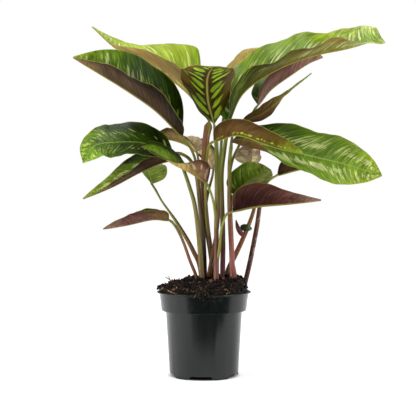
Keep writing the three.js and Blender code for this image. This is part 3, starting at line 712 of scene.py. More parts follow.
class Paint:
    """One material's nodes, with short ways to add them."""

    def __init__(self, name, roughness=0.5, specular=0.5):
        self.material = bpy.data.materials.new(name)
        self.material.use_nodes = True
        self.tree = self.material.node_tree
        self.shader = self.tree.nodes["Principled BSDF"]
        self.shader.inputs["Roughness"].default_value = roughness
        self.shader.inputs["Specular IOR Level"].default_value = specular

    def link(self, value, socket):
        if isinstance(value, bpy.types.NodeSocket):
            self.tree.links.new(value, socket)
        else:
            socket.default_value = value

    def node(self, kind, *values, **settings):
        """A new node with its settings, and with values or links on its first sockets."""
        node = self.tree.nodes.new(kind)
        for key, value in settings.items():
            setattr(node, key, value)
        for socket, value in zip(node.inputs, values):
            self.link(value, socket)
        return node

    def math(self, operation, first, second=0.0):
        return self.node("ShaderNodeMath", first, second, operation=operation).outputs[0]

    def add(self, first, second):
        return self.math("ADD", first, second)

    def minus(self, first, second):
        return self.math("SUBTRACT", first, second)

    def times(self, first, second):
        return self.math("MULTIPLY", first, second)

    def spread(self, value, low, span):
        """low plus value times span."""
        return self.add(self.times(value, span), low)

    def swing(self, value, amount):
        """How far value lies from a half, times amount."""
        return self.times(self.minus(value, 0.5), amount)

    def zigzag(self, value):
        """From 1 at each whole number down to 0 at each half, and up again."""
        return self.times(self.math("ABSOLUTE", self.minus(self.math("FRACT", value), 0.5)), 2.0)

    def step(self, value, low, high, start=0.0, end=1.0):
        """A smooth step from start to end as value goes from low to high."""
        kind = "ShaderNodeMapRange"
        return self.node(kind, value, low, high, start, end, interpolation_type="SMOOTHSTEP").outputs[0]

    def mix(self, share, first, second):
        node = self.node("ShaderNodeMix", share, data_type="RGBA")
        self.link(first, node.inputs[6])
        self.link(second, node.inputs[7])
        return node.outputs[2]

    def vector(self, x, y, z=0.0):
        return self.node("ShaderNodeCombineXYZ", x, y, z).outputs[0]

    def split(self, vector):
        return self.node("ShaderNodeSeparateXYZ", vector).outputs

    def place(self):
        """Object coordinates in metres."""
        return self.node("ShaderNodeTexCoord").outputs["Object"]

    def surface(self):
        """The piece's own map: across and along."""
        return self.split(self.node("ShaderNodeUVMap", uv_map="surface").outputs[0])

    def noise(self, vector, scale, detail=3.0, rough=0.55):
        node = self.node("ShaderNodeTexNoise", vector)
        node.inputs["Scale"].default_value = scale
        node.inputs["Detail"].default_value = detail
        node.inputs["Roughness"].default_value = rough
        return node.outputs[0]

    def cells(self, vector, scale):
        """A random number for each cell of a Voronoi pattern, and the distance from its middle."""
        node = self.node("ShaderNodeTexVoronoi", vector)
        node.inputs["Scale"].default_value = scale
        return self.split(node.outputs["Color"])[0], node.outputs["Distance"]

    def dice(self, vector):
        """Three random numbers that belong to a place."""
        return self.split(self.node("ShaderNodeTexWhiteNoise", vector).outputs[1])

    def brighten(self, colour, share):
        """The colour with its light multiplied by share."""
        node = self.node("ShaderNodeVectorMath", colour, operation="SCALE")
        self.link(share, node.inputs[3])
        return node.outputs[0]

    def ramp(self, share, stops):
        node = self.node("ShaderNodeValToRGB", share)
        elements = node.color_ramp.elements
        while len(elements) < len(stops):
            elements.new(0.5)
        for element, (position, colour) in zip(elements, stops):
            element.position = position
            element.color = colour
        return node.outputs[0]

    def colour(self, value):
        self.link(value, self.shader.inputs["Base Color"])

    def roughness(self, value):
        self.link(value, self.shader.inputs["Roughness"])

    def bump(self, height, depth):
        """Raises the surface by height, from 0 to 1, times depth in metres."""
        node = self.node("ShaderNodeBump")
        node.inputs["Strength"].default_value = 1.0
        node.inputs["Distance"].default_value = depth
        self.link(height, node.inputs["Height"])
        self.link(node.outputs[0], self.shader.inputs["Normal"])


# Colours and marks of the blades

# Greens of the leaves, roughly from the darkest to the palest
NIGHT_GREEN = srgb(12, 26, 2)
DEEP_GREEN = srgb(30, 50, 4)
FOREST = srgb(50, 76, 8)
LEAF_GREEN = srgb(76, 104, 18)
GRASS = srgb(100, 132, 28)
MEADOW = srgb(126, 152, 44)
LIME = srgb(152, 172, 30)
SALAD = srgb(146, 166, 76)
FLAME = srgb(150, 188, 40)
CREAM_GREEN = srgb(184, 196, 110)
# IVORY brushes and smears on the upper sides of a, c, d, w and n are painted gloss highlights; elsewhere it
# is the pale of marks
IVORY = srgb(222, 222, 156)

# Browns, olives and purples of the undersides
NIGHT_BROWN = srgb(26, 14, 2)
COFFEE = srgb(52, 32, 16)
UMBER = srgb(72, 50, 24)
CHESTNUT = srgb(96, 70, 36)
CLAY = srgb(120, 96, 48)
TAN = srgb(144, 118, 58)
SAND = srgb(186, 158, 90)
STRAW = srgb(212, 188, 110)
CORN = srgb(240, 208, 120)
DARK_OLIVE = srgb(56, 42, 6)
OLIVE_SKIN = srgb(90, 78, 20)
MOSS = srgb(118, 112, 36)
PLUM = srgb(50, 24, 20)
WINE = srgb(80, 46, 38)
MAUVE = srgb(112, 78, 68)
BLUSH = srgb(150, 118, 102)
SHELL = srgb(202, 176, 150)

# The blades' margin, and their midrib above and beneath
EDGE = srgb(152, 152, 58)
RIB_TOP = srgb(146, 166, 74)
RIB_UNDER = srgb(156, 150, 70)

# Runs of colour from base to tip that several leaves have; their dark base is partly painted shade
DEEP_RUN = (FOREST, LEAF_GREEN, GRASS, GRASS)
FRESH_RUN = (GRASS, GRASS, MEADOW, MEADOW)
OLIVE_RUN = (DARK_OLIVE, OLIVE_SKIN, MOSS, MOSS)
RUN_SPOTS = (0.0, 0.36, 0.68, 1.0)

# What differs between a blade's two skins: gloss, how strongly streaks and edge show, and the midrib's colour
UPPER_SKIN = SimpleNamespace(
    name="upper_side", colours="upper", marks="marks", specular=0.16, roughness=0.25,
    streak_light=2.2, rib=RIB_TOP, edge_strength=0.6,
)
UNDER_SKIN = SimpleNamespace(
    name="underside", colours="under", marks="beneath", specular=0.05, roughness=0.42,
    streak_light=1.3, rib=RIB_UNDER, edge_strength=0.3,
)
RIB_STRENGTH = 0.7
SEED_STEP = 7.3

# How deep the surfaces' fine relief is, in metres
LEAF_RELIEF = 0.00025
STALK_RELIEF = 0.0004
SOIL_RELIEF = 0.0006
FIBRE_RELIEF = 0.0003
POT_RELIEF = 0.00004

# Kinds of pale marks between the side veins; smears, and the IVORY brushes on the upper sides of a, c, d and
# w, are painted gloss highlights, not marks of the leaf. spacing: millimetres along the leaf. start, end:
# shares of the
# way from rib to margin. width: share of the spacing. keep: share of them that is there. ragged: how far they
# break up.
MARKS = {
    "flame": dict(spacing=17, start=0.05, end=0.82, width=0.85, keep=0.97, ragged=0.35),
    "wedge": dict(spacing=19, start=0.06, end=0.8, width=0.66, keep=0.98, ragged=0.9),
    "brush": dict(spacing=8, start=0.12, end=0.85, width=0.42, keep=0.75, ragged=2.4),
    # painted gloss highlights: whitish smears of sheen
    "smear": dict(spacing=26, start=0.26, end=0.6, width=0.8, keep=0.85, ragged=3.6),
    "blot": dict(spacing=15, start=0.6, end=0.9, width=0.9, keep=0.6, ragged=2.6),
    "dash": dict(spacing=5.2, start=0.06, end=0.2, width=0.85, keep=0.95, ragged=2.4),
    "row": dict(spacing=5.5, start=0.36, end=0.6, width=0.42, keep=0.85, ragged=0.8),
    "line": dict(spacing=3.4, start=0.2, end=1.05, width=0.3, keep=0.6, ragged=1.4),
}

# How each leaf looks. upper, under: four colours from base to tip by the rib, and four by the margin; besides
# the leaves' own colours, they hold painted shade, darker towards the base, and painted light, paler towards
# the tip and pale on the undersides of the top leaves a, c, d and e. marks, beneath: the pale marks on the
# upper side and on the underside, each with its kind, colour, strength and the share of the leaf that it
# starts at; some are
# painted gloss highlights. right_half: a tone, and how strongly it lies over the right half.
LOOKS = {
    "a": dict(
        # upper: near-black at the base partly as painted shade
        upper=((NIGHT_GREEN, DEEP_GREEN, LEAF_GREEN, GRASS), (DEEP_GREEN, FOREST, GRASS, LIME)),
        # under: dark at the base partly as painted shade, paler at the tip partly as painted light through
        # the blade
        under=((COFFEE, UMBER, UMBER, CLAY), (NIGHT_BROWN, NIGHT_BROWN, COFFEE, CHESTNUT)),
        marks=[
            ("dash", MEADOW, 0.8, 0.0), ("row", MEADOW, 0.7, 0.0), ("line", GRASS, 0.5, 0.1),
            # the IVORY brush is a painted gloss highlight
            ("brush", IVORY, 0.55, 0.32),
        ],
        beneath=[("line", TAN, 0.3, 0.3)],
    ),
    "b": dict(
        upper=(DEEP_RUN, (FOREST, LEAF_GREEN, MEADOW, MEADOW)),
        under=((DARK_OLIVE, DARK_OLIVE, DARK_OLIVE, OLIVE_SKIN), (OLIVE_SKIN, CHESTNUT, CHESTNUT, MOSS)),
        marks=[("flame", CREAM_GREEN, 0.8, 0.0)],
        beneath=[("wedge", FLAME, 1.0, 0.0), ("line", MOSS, 0.5, 0.2), ("blot", MEADOW, 0.55, 0.35)],
    ),
    "c": dict(
        upper=((GRASS, LIME, MEADOW, SALAD), (MEADOW, LIME, LIME, LIME)),
        # under: the pale sand and tan are partly painted light through the blade
        under=((MOSS, TAN, TAN, CLAY), (SAND, TAN, SAND, TAN)),
        # the IVORY brush is a painted gloss highlight
        marks=[("brush", IVORY, 0.5, 0.0), ("line", LEAF_GREEN, 0.5, 0.0), ("blot", LEAF_GREEN, 0.5, 0.0)],
        beneath=[("dash", CREAM_GREEN, 0.7, 0.0), ("line", CHESTNUT, 0.4, 0.0)],
    ),
    "d": dict(
        upper=((FOREST, GRASS, GRASS, MEADOW), (LEAF_GREEN, MEADOW, LIME, CREAM_GREEN)),
        # under: paler towards the tip partly as painted light through the blade
        under=((FOREST, OLIVE_SKIN, MOSS, SALAD), (DEEP_GREEN, OLIVE_SKIN, TAN, CREAM_GREEN)),
        # the IVORY brush is a painted gloss highlight
        marks=[("brush", IVORY, 0.65, 0.0), ("line", FOREST, 0.6, 0.0), ("blot", LEAF_GREEN, 0.6, 0.0)],
        beneath=[
            ("line", MEADOW, 0.6, 0.0), ("row", SALAD, 0.7, 0.05), ("brush", GRASS, 0.5, 0.0),
            ("brush", IVORY, 0.5, 0.45),
        ],
    ),
    "e": dict(
        upper=((LEAF_GREEN, GRASS, GRASS, GRASS), (GRASS, MEADOW, MEADOW, MEADOW)),
        # under: the pale straw and corn are partly painted light through the blade
        under=((STRAW, CORN, CORN, STRAW), (CORN, CORN, CORN, CORN)),
        marks=[("brush", CREAM_GREEN, 0.5, 0.0)],
        beneath=[("line", CLAY, 0.5, 0.0)],
    ),
    "f": dict(
        upper=(DEEP_RUN, (FOREST, LEAF_GREEN, GRASS, MEADOW)),
        under=((BLUSH, MAUVE, MAUVE, BLUSH), (WINE, WINE, WINE, MAUVE)),
        marks=[("brush", CREAM_GREEN, 0.5, 0.0)],
        beneath=[("line", SHELL, 0.75, 0.35), ("line", WINE, 0.5, 0.0)],
    ),
    "g": dict(
        upper=((FOREST, GRASS, SALAD, MEADOW), (FOREST, GRASS, SALAD, MEADOW)),
        under=((CHESTNUT, CHESTNUT, MOSS, SALAD), (UMBER, CHESTNUT, CLAY, MEADOW)),
        marks=[("dash", CREAM_GREEN, 0.5, 0.0)],
        beneath=[("line", CREAM_GREEN, 0.5, 0.3)],
    ),
    "h": dict(
        upper=(DEEP_RUN, (FOREST, LEAF_GREEN, MEADOW, MEADOW)),
        under=((CHESTNUT, CHESTNUT, OLIVE_SKIN, MEADOW), (UMBER, UMBER, OLIVE_SKIN, LIME)),
        marks=[("brush", CREAM_GREEN, 0.5, 0.0)],
        beneath=[("dash", FLAME, 0.9, 0.0), ("line", DARK_OLIVE, 0.6, 0.0), ("line", CLAY, 0.4, 0.0)],
    ),
    "w": dict(
        upper=((LEAF_GREEN, LEAF_GREEN, GRASS, MEADOW), (DEEP_GREEN, GRASS, MEADOW, LIME)),
        under=((UMBER, CLAY, CLAY, TAN), (CHESTNUT, CHESTNUT, CLAY, TAN)),
        # the IVORY smear and brush are painted gloss highlights
        marks=[
            ("smear", IVORY, 0.5, 0.1), ("brush", IVORY, 0.55, 0.15), ("brush", SALAD, 0.6, 0.0),
            ("line", FOREST, 0.6, 0.0),
        ],
        beneath=[],
    ),
    "i": dict(
        upper=(DEEP_RUN, DEEP_RUN),
        under=((NIGHT_BROWN, UMBER, UMBER, CHESTNUT), (NIGHT_BROWN, NIGHT_BROWN, COFFEE, UMBER)),
        marks=[("dash", CREAM_GREEN, 0.5, 0.0)],
        beneath=[("line", CLAY, 0.3, 0.0)],
    ),
    "j": dict(
        upper=((LEAF_GREEN, GRASS, MEADOW, SALAD), (FOREST, GRASS, MEADOW, SALAD)),
        under=(OLIVE_RUN, OLIVE_RUN),
        marks=[("line", IVORY, 0.6, 0.0), ("blot", LEAF_GREEN, 0.6, 0.0)],
        beneath=[("dash", FLAME, 0.4, 0.0)],
        right_half=(CREAM_GREEN, 0.6),
    ),
    "k": dict(
        upper=((DEEP_GREEN, FOREST, LEAF_GREEN, LEAF_GREEN), DEEP_RUN),
        under=((PLUM, PLUM, WINE, BLUSH), (WINE, WINE, MAUVE, BLUSH)),
        marks=[("dash", CREAM_GREEN, 0.5, 0.0)],
        beneath=[("line", MAUVE, 0.4, 0.2)],
    ),
    "l": dict(
        upper=((NIGHT_GREEN, FOREST, LEAF_GREEN, GRASS), (DEEP_GREEN, FOREST, GRASS, MEADOW)),
        under=((WINE, MAUVE, MAUVE, MAUVE), (PLUM, WINE, WINE, MAUVE)),
        marks=[("row", CREAM_GREEN, 0.8, 0.0), ("brush", SALAD, 0.6, 0.2), ("line", CREAM_GREEN, 0.4, 0.35)],
        beneath=[],
    ),
    "m": dict(
        upper=((MEADOW, MEADOW, GRASS, LEAF_GREEN), (DEEP_GREEN, DEEP_GREEN, NIGHT_GREEN, NIGHT_GREEN)),
        under=((MAUVE, SAND, TAN, MAUVE), (WINE, WINE, WINE, WINE)),
        marks=[("row", SALAD, 0.8, 0.0), ("dash", SALAD, 0.7, 0.0), ("line", DEEP_GREEN, 0.5, 0.0)],
        beneath=[("brush", SHELL, 0.7, 0.0)],
    ),
    "n": dict(
        upper=((FOREST, LEAF_GREEN, MEADOW, SALAD), (DEEP_GREEN, NIGHT_GREEN, MEADOW, LIME)),
        under=((UMBER, COFFEE, CHESTNUT, CLAY), (COFFEE, NIGHT_BROWN, UMBER, CLAY)),
        # the IVORY smear is a painted gloss highlight
        marks=[("row", MEADOW, 0.7, 0.0), ("smear", IVORY, 0.7, 0.35), ("line", SALAD, 0.5, 0.3)],
        beneath=[],
    ),
    "o": dict(
        upper=((GRASS, MEADOW, MEADOW, MEADOW), (MEADOW, SALAD, SALAD, SALAD)),
        under=(OLIVE_RUN, OLIVE_RUN),
        marks=[("line", CREAM_GREEN, 0.5, 0.0)],
        beneath=[],
    ),
    "p": dict(
        upper=((FOREST, LEAF_GREEN, LEAF_GREEN, GRASS), DEEP_RUN),
        under=((CLAY, MAUVE, MAUVE, BLUSH), (CHESTNUT, WINE, MAUVE, MAUVE)),
        marks=[("dash", CREAM_GREEN, 0.5, 0.0)],
        beneath=[("line", BLUSH, 0.5, 0.2)],
    ),
    "q": dict(
        upper=((SHELL, STRAW, SHELL, SHELL), (SHELL, SHELL, SHELL, SHELL)),
        under=((STRAW, TAN, CLAY, CHESTNUT), (UMBER, UMBER, UMBER, CHESTNUT)),
        marks=[("brush", IVORY, 0.4, 0.0), ("line", CLAY, 0.4, 0.0)],
        beneath=[("brush", SHELL, 0.4, 0.0)],
    ),
    "r": dict(
        upper=(FRESH_RUN, FRESH_RUN),
        under=((SHELL, SAND, TAN, CLAY), (COFFEE, COFFEE, UMBER, UMBER)),
        marks=[("dash", CREAM_GREEN, 0.4, 0.0)],
        beneath=[("flame", IVORY, 0.5, 0.0)],
    ),
    "s": dict(
        upper=(FRESH_RUN, FRESH_RUN),
        under=((SHELL, BLUSH, BLUSH, BLUSH), (SHELL, BLUSH, BLUSH, BLUSH)),
        marks=[("dash", CREAM_GREEN, 0.4, 0.0)],
        beneath=[("flame", IVORY, 0.7, 0.0), ("line", MAUVE, 0.5, 0.0)],
    ),
}


def add_marks(paint, colour, pattern, mark, seed, length):
    """Lays one kind of pale marks over the colour, each of its own length, width and brightness."""
    kind, pale, strength, first = mark
    settings = MARKS[kind]
    across, lengthways, side = pattern.across, pattern.lengthways, pattern.side
    count = paint.add(paint.times(lengthways, length / settings["spacing"]), paint.times(side, 0.5))
    wander = paint.noise(paint.vector(paint.times(across, 1.5), paint.times(count, 0.6), seed), 1.0, 2.0)
    count = paint.add(count, paint.times(wander, 0.9))
    one, two, three = paint.dice(paint.vector(paint.math("FLOOR", count), side, seed))
    start = paint.times(paint.spread(one, 0.65, 0.7), settings["start"])
    end = paint.times(paint.spread(two, 0.7, 0.55), settings["end"])
    share = paint.math("DIVIDE", paint.minus(across, start), paint.minus(end, start))
    taper = paint.times(paint.step(share, 0.0, 0.3), paint.step(share, 0.6, 1.0, 1.0, 0.0))
    width = paint.times(paint.spread(three, 0.75, 0.5), settings["width"])
    body = paint.minus(paint.times(taper, width), paint.zigzag(count))
    body = paint.add(body, paint.swing(pattern.streaks, settings["ragged"]))
    body = paint.step(body, -0.12, 0.3)
    kept = paint.step(one, 1 - settings["keep"], 1.08 - settings["keep"])
    reach = paint.step(lengthways, first - 0.02, first + 0.08)
    bright = paint.times(paint.spread(two, 0.6, 0.4), strength)
    for share in (kept, reach, paint.step(taper, 0.0, 0.35), bright):
        body = paint.times(body, share)
    return paint.mix(body, colour, pale)


def leaf_pattern(paint, leaf, seed):
    """What a blade's colours follow: places on the blade, its side veins, and streaks that run along them."""
    sideways, lengthways, _ = paint.surface()
    veins = float(vein_count(leaf))
    signed = paint.minus(paint.times(sideways, 2.0), 1.0)
    side = paint.math("GREATER_THAN", signed, 0.0)
    count = paint.add(paint.times(lengthways, veins), paint.times(side, -0.5))

    def drawn_out(crosswise, per_vein, shift, detail, rough=0.55):
        x, y = paint.times(signed, crosswise), paint.times(lengthways, veins * per_vein)
        return paint.noise(paint.vector(x, y, seed + shift), 1.0, detail, rough)

    return SimpleNamespace(
        lengthways=lengthways,
        across=paint.math("ABSOLUTE", signed),
        side=side,
        grooves=paint.step(paint.zigzag(count), 0.72, 1.0),
        fine=paint.zigzag(paint.times(count, 6.0)),
        streaks=drawn_out(2.2, 2.2, 3, 4.0, 0.6),
        drift=drawn_out(1.1, 0.32, 9, 2.0),
        patches=paint.noise(paint.place(), 45.0),
    )


def leaf_colour(paint, look, pattern, skin):
    """The blade's runs of colour by the rib and by the margin, blended, with the tone of its right half."""
    stretch = paint.add(pattern.lengthways, paint.swing(pattern.drift, 0.3))
    by_rib, by_margin = (paint.ramp(stretch, list(zip(RUN_SPOTS, run))) for run in look[skin.colours])
    outward = paint.step(paint.add(pattern.across, paint.swing(pattern.streaks, 0.5)), 0.3, 0.95)
    colour = paint.mix(outward, by_rib, by_margin)
    if "right_half" in look:
        tone, strength = look["right_half"]
        colour = paint.mix(paint.times(paint.minus(1.0, pattern.side), strength), colour, tone)
    return colour


def leaf_light(paint, pattern, skin):
    """How light the colour is: streaks, patches and drifts, darker in the side veins."""
    light = paint.add(paint.swing(pattern.streaks, skin.streak_light), 1.0)
    light = paint.add(light, paint.swing(pattern.patches, 1.0))
    light = paint.add(light, paint.swing(pattern.drift, 0.8))
    light = paint.minus(light, paint.times(pattern.grooves, 0.2))
    light = paint.add(light, paint.swing(pattern.fine, 0.22))
    return paint.math("MAXIMUM", light, 0.25)


def blade_material(letter, leaf, skin):
    """One side of a blade: its colours, marks, light, midrib and edge, and the relief of its veins."""
    look = LOOKS[letter]
    seed = SEED_STEP * (ord(letter) - ord("a") + 1)
    paint = Paint(f"leaf_{letter}_{skin.name}", specular=skin.specular)
    pattern = leaf_pattern(paint, leaf, seed)
    colour = leaf_colour(paint, look, pattern, skin)
    for number, mark in enumerate(look[skin.marks]):
        colour = add_marks(paint, colour, pattern, mark, seed + 20 * number + 11, blade_length(leaf))
    colour = paint.brighten(colour, leaf_light(paint, pattern, skin))
    rib = paint.step(pattern.across, 0.012, 0.04, 1.0, 0.0)
    colour = paint.mix(paint.times(rib, RIB_STRENGTH), colour, skin.rib)
    edge = paint.step(pattern.across, 0.962, 0.985)
    paint.colour(paint.mix(paint.times(edge, skin.edge_strength), colour, EDGE))
    paint.roughness(paint.spread(pattern.patches, skin.roughness, 0.2))
    relief = paint.add(paint.times(pattern.fine, 0.35), paint.times(pattern.streaks, 0.5))
    paint.bump(paint.minus(relief, paint.times(pattern.grooves, 0.6)), LEAF_RELIEF)
    return paint.material


# Shoots

PINK = srgb(168, 96, 88)
RED = srgb(128, 52, 52)
RED_BROWN = srgb(112, 62, 44)
RUST = srgb(150, 88, 48)
OLIVE_BROWN = srgb(118, 92, 48)
DARK_STEM = srgb(62, 40, 26)
OLIVE = srgb(134, 120, 50)
LEAF_STEM = srgb(124, 138, 44)
YELLOW_STEM = srgb(148, 152, 44)
PURPLE_STEM = srgb(92, 54, 50)
SHEATH_RED = srgb(110, 36, 48)
SHEATH_DARK = srgb(60, 18, 26)
KNOB_GREEN = srgb(34, 62, 22)
KNOB_DARK = srgb(28, 52, 20)
KNOB_PALE = srgb(70, 130, 40)
STALK_DARK = srgb(44, 28, 14)
STALK_PALE = srgb(190, 190, 110)
SCAR = srgb(196, 178, 160)

# Colours of each stalk from its first point to its last, in the order of its shoot
STALK_COLOURS = {
    "shoot_01": [[OLIVE_BROWN, RUST, OLIVE_BROWN, YELLOW_STEM]],
    "shoot_02": [[RUST, RUST, OLIVE, YELLOW_STEM, LEAF_STEM]],
    "shoot_03": [[RED_BROWN, OLIVE, OLIVE, LEAF_STEM, OLIVE]],
    "shoot_04": [[DARK_STEM, DARK_STEM, OLIVE_BROWN, OLIVE, YELLOW_STEM], [OLIVE, OLIVE, YELLOW_STEM]],
    "shoot_05": [
        [DARK_STEM, OLIVE_BROWN, RUST, RUST, RUST, YELLOW_STEM],
        [OLIVE, YELLOW_STEM, YELLOW_STEM],
        [RUST, YELLOW_STEM],
        [RUST, OLIVE],
    ],
    "shoot_06": [[OLIVE_BROWN, RUST, OLIVE_BROWN, LEAF_STEM, OLIVE]],
    "shoot_07": [
        [PINK, RED_BROWN, OLIVE, LEAF_STEM, LEAF_STEM],
        [OLIVE, YELLOW_STEM, LEAF_STEM],
        [YELLOW_STEM, YELLOW_STEM],
    ],
    "shoot_08": [[RED, PURPLE_STEM, OLIVE, LEAF_STEM, OLIVE]],
    "shoot_09": [
        [RED, PINK, RUST, OLIVE, YELLOW_STEM, LEAF_STEM],
        [OLIVE, YELLOW_STEM],
        [LEAF_STEM, RED_BROWN],
        [LEAF_STEM, YELLOW_STEM],
        [RED, RED, PINK],
    ],
    "shoot_10": [
        [OLIVE_BROWN, RUST, RUST, OLIVE, LEAF_STEM],
        [RED, SHEATH_RED, SHEATH_DARK],
        [KNOB_GREEN, KNOB_DARK, KNOB_PALE],
    ],
    "shoot_11": [[PURPLE_STEM, PURPLE_STEM, RED_BROWN, RED_BROWN, YELLOW_STEM]],
}


def stalk_material(name, colours, mottle):
    """A living stalk: colours from foot to top, with long fibres, and pale scars where it is mottled."""
    paint = Paint(name)
    around, height, _ = paint.surface()
    turn = paint.times(around, 2 * math.pi)
    ring = paint.vector(paint.math("COSINE", turn), paint.math("SINE", turn), paint.times(height, 1.6))
    fibres = paint.noise(ring, 3.2, 4.0, 0.65)
    blotches = paint.noise(paint.place(), 60.0)
    last = len(colours) - 1
    stops = [(i / last, c) for i, c in enumerate(colours)]
    colour = paint.ramp(paint.add(height, paint.swing(fibres, 0.25)), stops)
    colour = paint.mix(paint.step(fibres, 0.52, 0.36, 0.0, 0.7), colour, STALK_DARK)
    colour = paint.mix(paint.step(fibres, 0.56, 0.7, 0.0, 0.55), colour, STALK_PALE)
    if mottle:
        colour = paint.mix(paint.step(blotches, 0.56, 0.66, 0.0, 0.6), colour, SCAR)
    paint.colour(colour)
    paint.roughness(paint.spread(blotches, 0.3, 0.25))
    paint.bump(fibres, STALK_RELIEF)
    return paint.material


def stalk_path(stalk):
    """The stalk's points in millimetres; a leaf's stalk runs on under the blade's midrib."""
    path = [list(point) for point in stalk["path"]]
    if "leaf" not in stalk:
        return np.array(path, float)
    place, ahead, normal, _ = blade_frame(LEAVES[stalk["leaf"]], np.array([0.0]))
    end = place[0] - normal[0] * (CAD_BLADE_THICK + CAD_RIB_DEPTH) / 2
    return np.array(path + [list(end), list(end + ahead[0] * PETIOLE_TUCK)], float)


def stalk_radius(stalk, own, place):
    """The radius at a share of the stalk's own path; place counts its points and runs on past the last."""
    radius = along(stalk["radius"], own)
    if "leaf" in stalk:
        near_end = np.clip((own - JOINT_PLACE) / (1 - JOINT_PLACE), 0, 1)
        radius = radius + (PETIOLE_END_RADIUS - radius) * near_end
        joint = np.exp(-(((own - JOINT_PLACE) / JOINT_REACH) ** 2))
        tucked = np.clip(place - len(stalk["path"]), 0, 1)
        radius = radius * (1 + JOINT_SWELL * joint) * (1 - TUCK_THINNING * tucked)
    return radius


def make_stalk(name, stalk, colours, mottle=False):
    """One stalk: a grid rolled into a ribbed tube along its path, with closed ends."""
    path = stalk_path(stalk)
    spans = len(path) - 1
    own_spans = spans - 1 if "leaf" in stalk else spans
    piece, x, t = grid_piece(name, STALK_SIDES, STALK_ROWS_PER_SPAN * spans)
    turn = np.pi * (x + 1)
    side, other = across_path(path, t, [0.0, 1.0, 0.0])
    own = np.clip(t * spans / own_spans, 0, 1)
    ribs = 1 + 0.035 * np.cos(3 * turn + 4 * t) + 0.025 * np.cos(8 * turn)
    radius = stalk_radius(stalk, own, t * spans) * ribs
    around = side * np.cos(turn)[:, None] + other * np.sin(turn)[:, None]
    set_points(piece, along(path, t) + around * radius[:, None])
    set_uv(piece, (x + 1) / 2, own)
    make_active(piece)
    bpy.ops.object.mode_set(mode="EDIT")
    close_skin(fill_ends=True)
    piece.data.materials.append(stalk_material(name, colours, mottle))
    return piece


def make_shoot(name, stalks):
    """A shoot: its stalks grown together into one skin."""
    looks = STALK_COLOURS[name]
    whole = make_stalk(f"{name}_dressed", stalks[0], looks[0], mottle=name == MOTTLED_SHOOT)
    for number, (stalk, colours) in enumerate(zip(stalks[1:], looks[1:]), 1):
        fork = make_stalk(f"{name}_fork_{number}", stalk, colours)
        combine(whole, fork, "UNION", material_mode="TRANSFER")
    finish_piece(whole, "stem", name)


# Soil

# Soil and bark from the darkest tone to the palest
SOIL_TONES = [
    (0.0, srgb(8, 5, 4)),
    (0.5, srgb(22, 14, 10)),
    (0.78, srgb(44, 27, 19)),
    (0.92, srgb(78, 50, 36)),
    (0.975, srgb(132, 100, 76)),
    (1.0, srgb(204, 184, 160)),
]
DAMP_SOIL = srgb(12, 8, 7)
BLACK_SOIL = srgb(10, 7, 5)
FIBRE_TONES = [(0.3, srgb(52, 32, 20)), (0.5, srgb(104, 72, 46)), (0.7, srgb(164, 132, 96))]


def soil_height(radius, turn):
    """The soil's height in millimetres at a radius and a turn about the pot."""
    rings = SOIL_HEIGHTS
    radius = min(max(radius, 0.0), rings[0][0])
    for outer, inner in zip(rings, rings[1:]):
        if radius >= inner[0]:
            break
    share = (radius - inner[0]) / (outer[0] - inner[0])
    right, back, left, front = [b + (a - b) * share for a, b in zip(outer[1:], inner[1:])]
    c, s = math.cos(turn), math.sin(turn)
    return (right if c > 0 else left) * c * c + (back if s > 0 else front) * s * s


def soil_material(name, loose):
    """Dark peat and bark; each loose chip has a tone of its own from its map."""
    paint = Paint(name, specular=0.3)
    place = paint.place()
    tone, middle = paint.cells(place, 520.0)
    if loose:
        tone, _, _ = paint.surface()
    coarse = paint.noise(place, 130.0)
    grain = paint.noise(place, 1400.0, 4.0, 0.7)
    colour = paint.ramp(tone, SOIL_TONES)
    colour = paint.mix(paint.step(coarse, 0.35, 0.6, 0.6, 0.0), colour, DAMP_SOIL)
    colour = paint.mix(paint.times(grain, 0.35), colour, BLACK_SOIL)
    paint.colour(colour)
    paint.roughness(paint.spread(grain, 0.62, 0.3))
    paint.bump(paint.add(grain, paint.times(middle, 0.5)), SOIL_RELIEF)
    return paint.material


def at_turn(radius, turn, height):
    """The point at a radius and height, turned about the pot's axis."""
    return [radius * math.cos(turn), radius * math.sin(turn), height]


def soil_top(share, turn):
    """The lumpy heap at a share of the way from middle to rim; it spills over the rim on the left."""
    radius = SOIL_RADIUS * share
    height = soil_height(radius, turn)
    radius += SPILL * max(0.0, -math.cos(turn)) ** 3 * share**4
    here = Vector(at_turn(radius, turn, height))
    lump = noise.fractal(here * 0.11, 0.9, 2.1, 5)
    grit = noise.fractal(here * 0.4 + Vector((7, 3, 1)), 0.8, 2.2, 3)
    edge = min(1.0, (1 - share) / 0.06)
    height += (LUMP_HEIGHT * lump + GRIT_HEIGHT * grit) * edge
    return at_turn(radius + 0.6 * grit * edge, turn, height)


def soil_wall(share, turn):
    """The soil against the pot's inner wall, at a share of the way down from the rim to its floor."""
    height = (1 - share) * (POT_HEIGHT - 0.5) + share * (SOIL_FLOOR + 1)
    if height > COLLAR_FOOT + WALL + 1:
        rise = (height - COLLAR_FOOT) / (POT_HEIGHT - COLLAR_FOOT)
        radius = COLLAR_FOOT_RADIUS + (COLLAR_TOP_RADIUS - COLLAR_FOOT_RADIUS) * rise
    else:
        radius = FOOT_RADIUS + (BODY_TOP_RADIUS - FOOT_RADIUS) * height / COLLAR_FOOT
    return at_turn(radius - WALL - SOIL_GAP, turn, height)


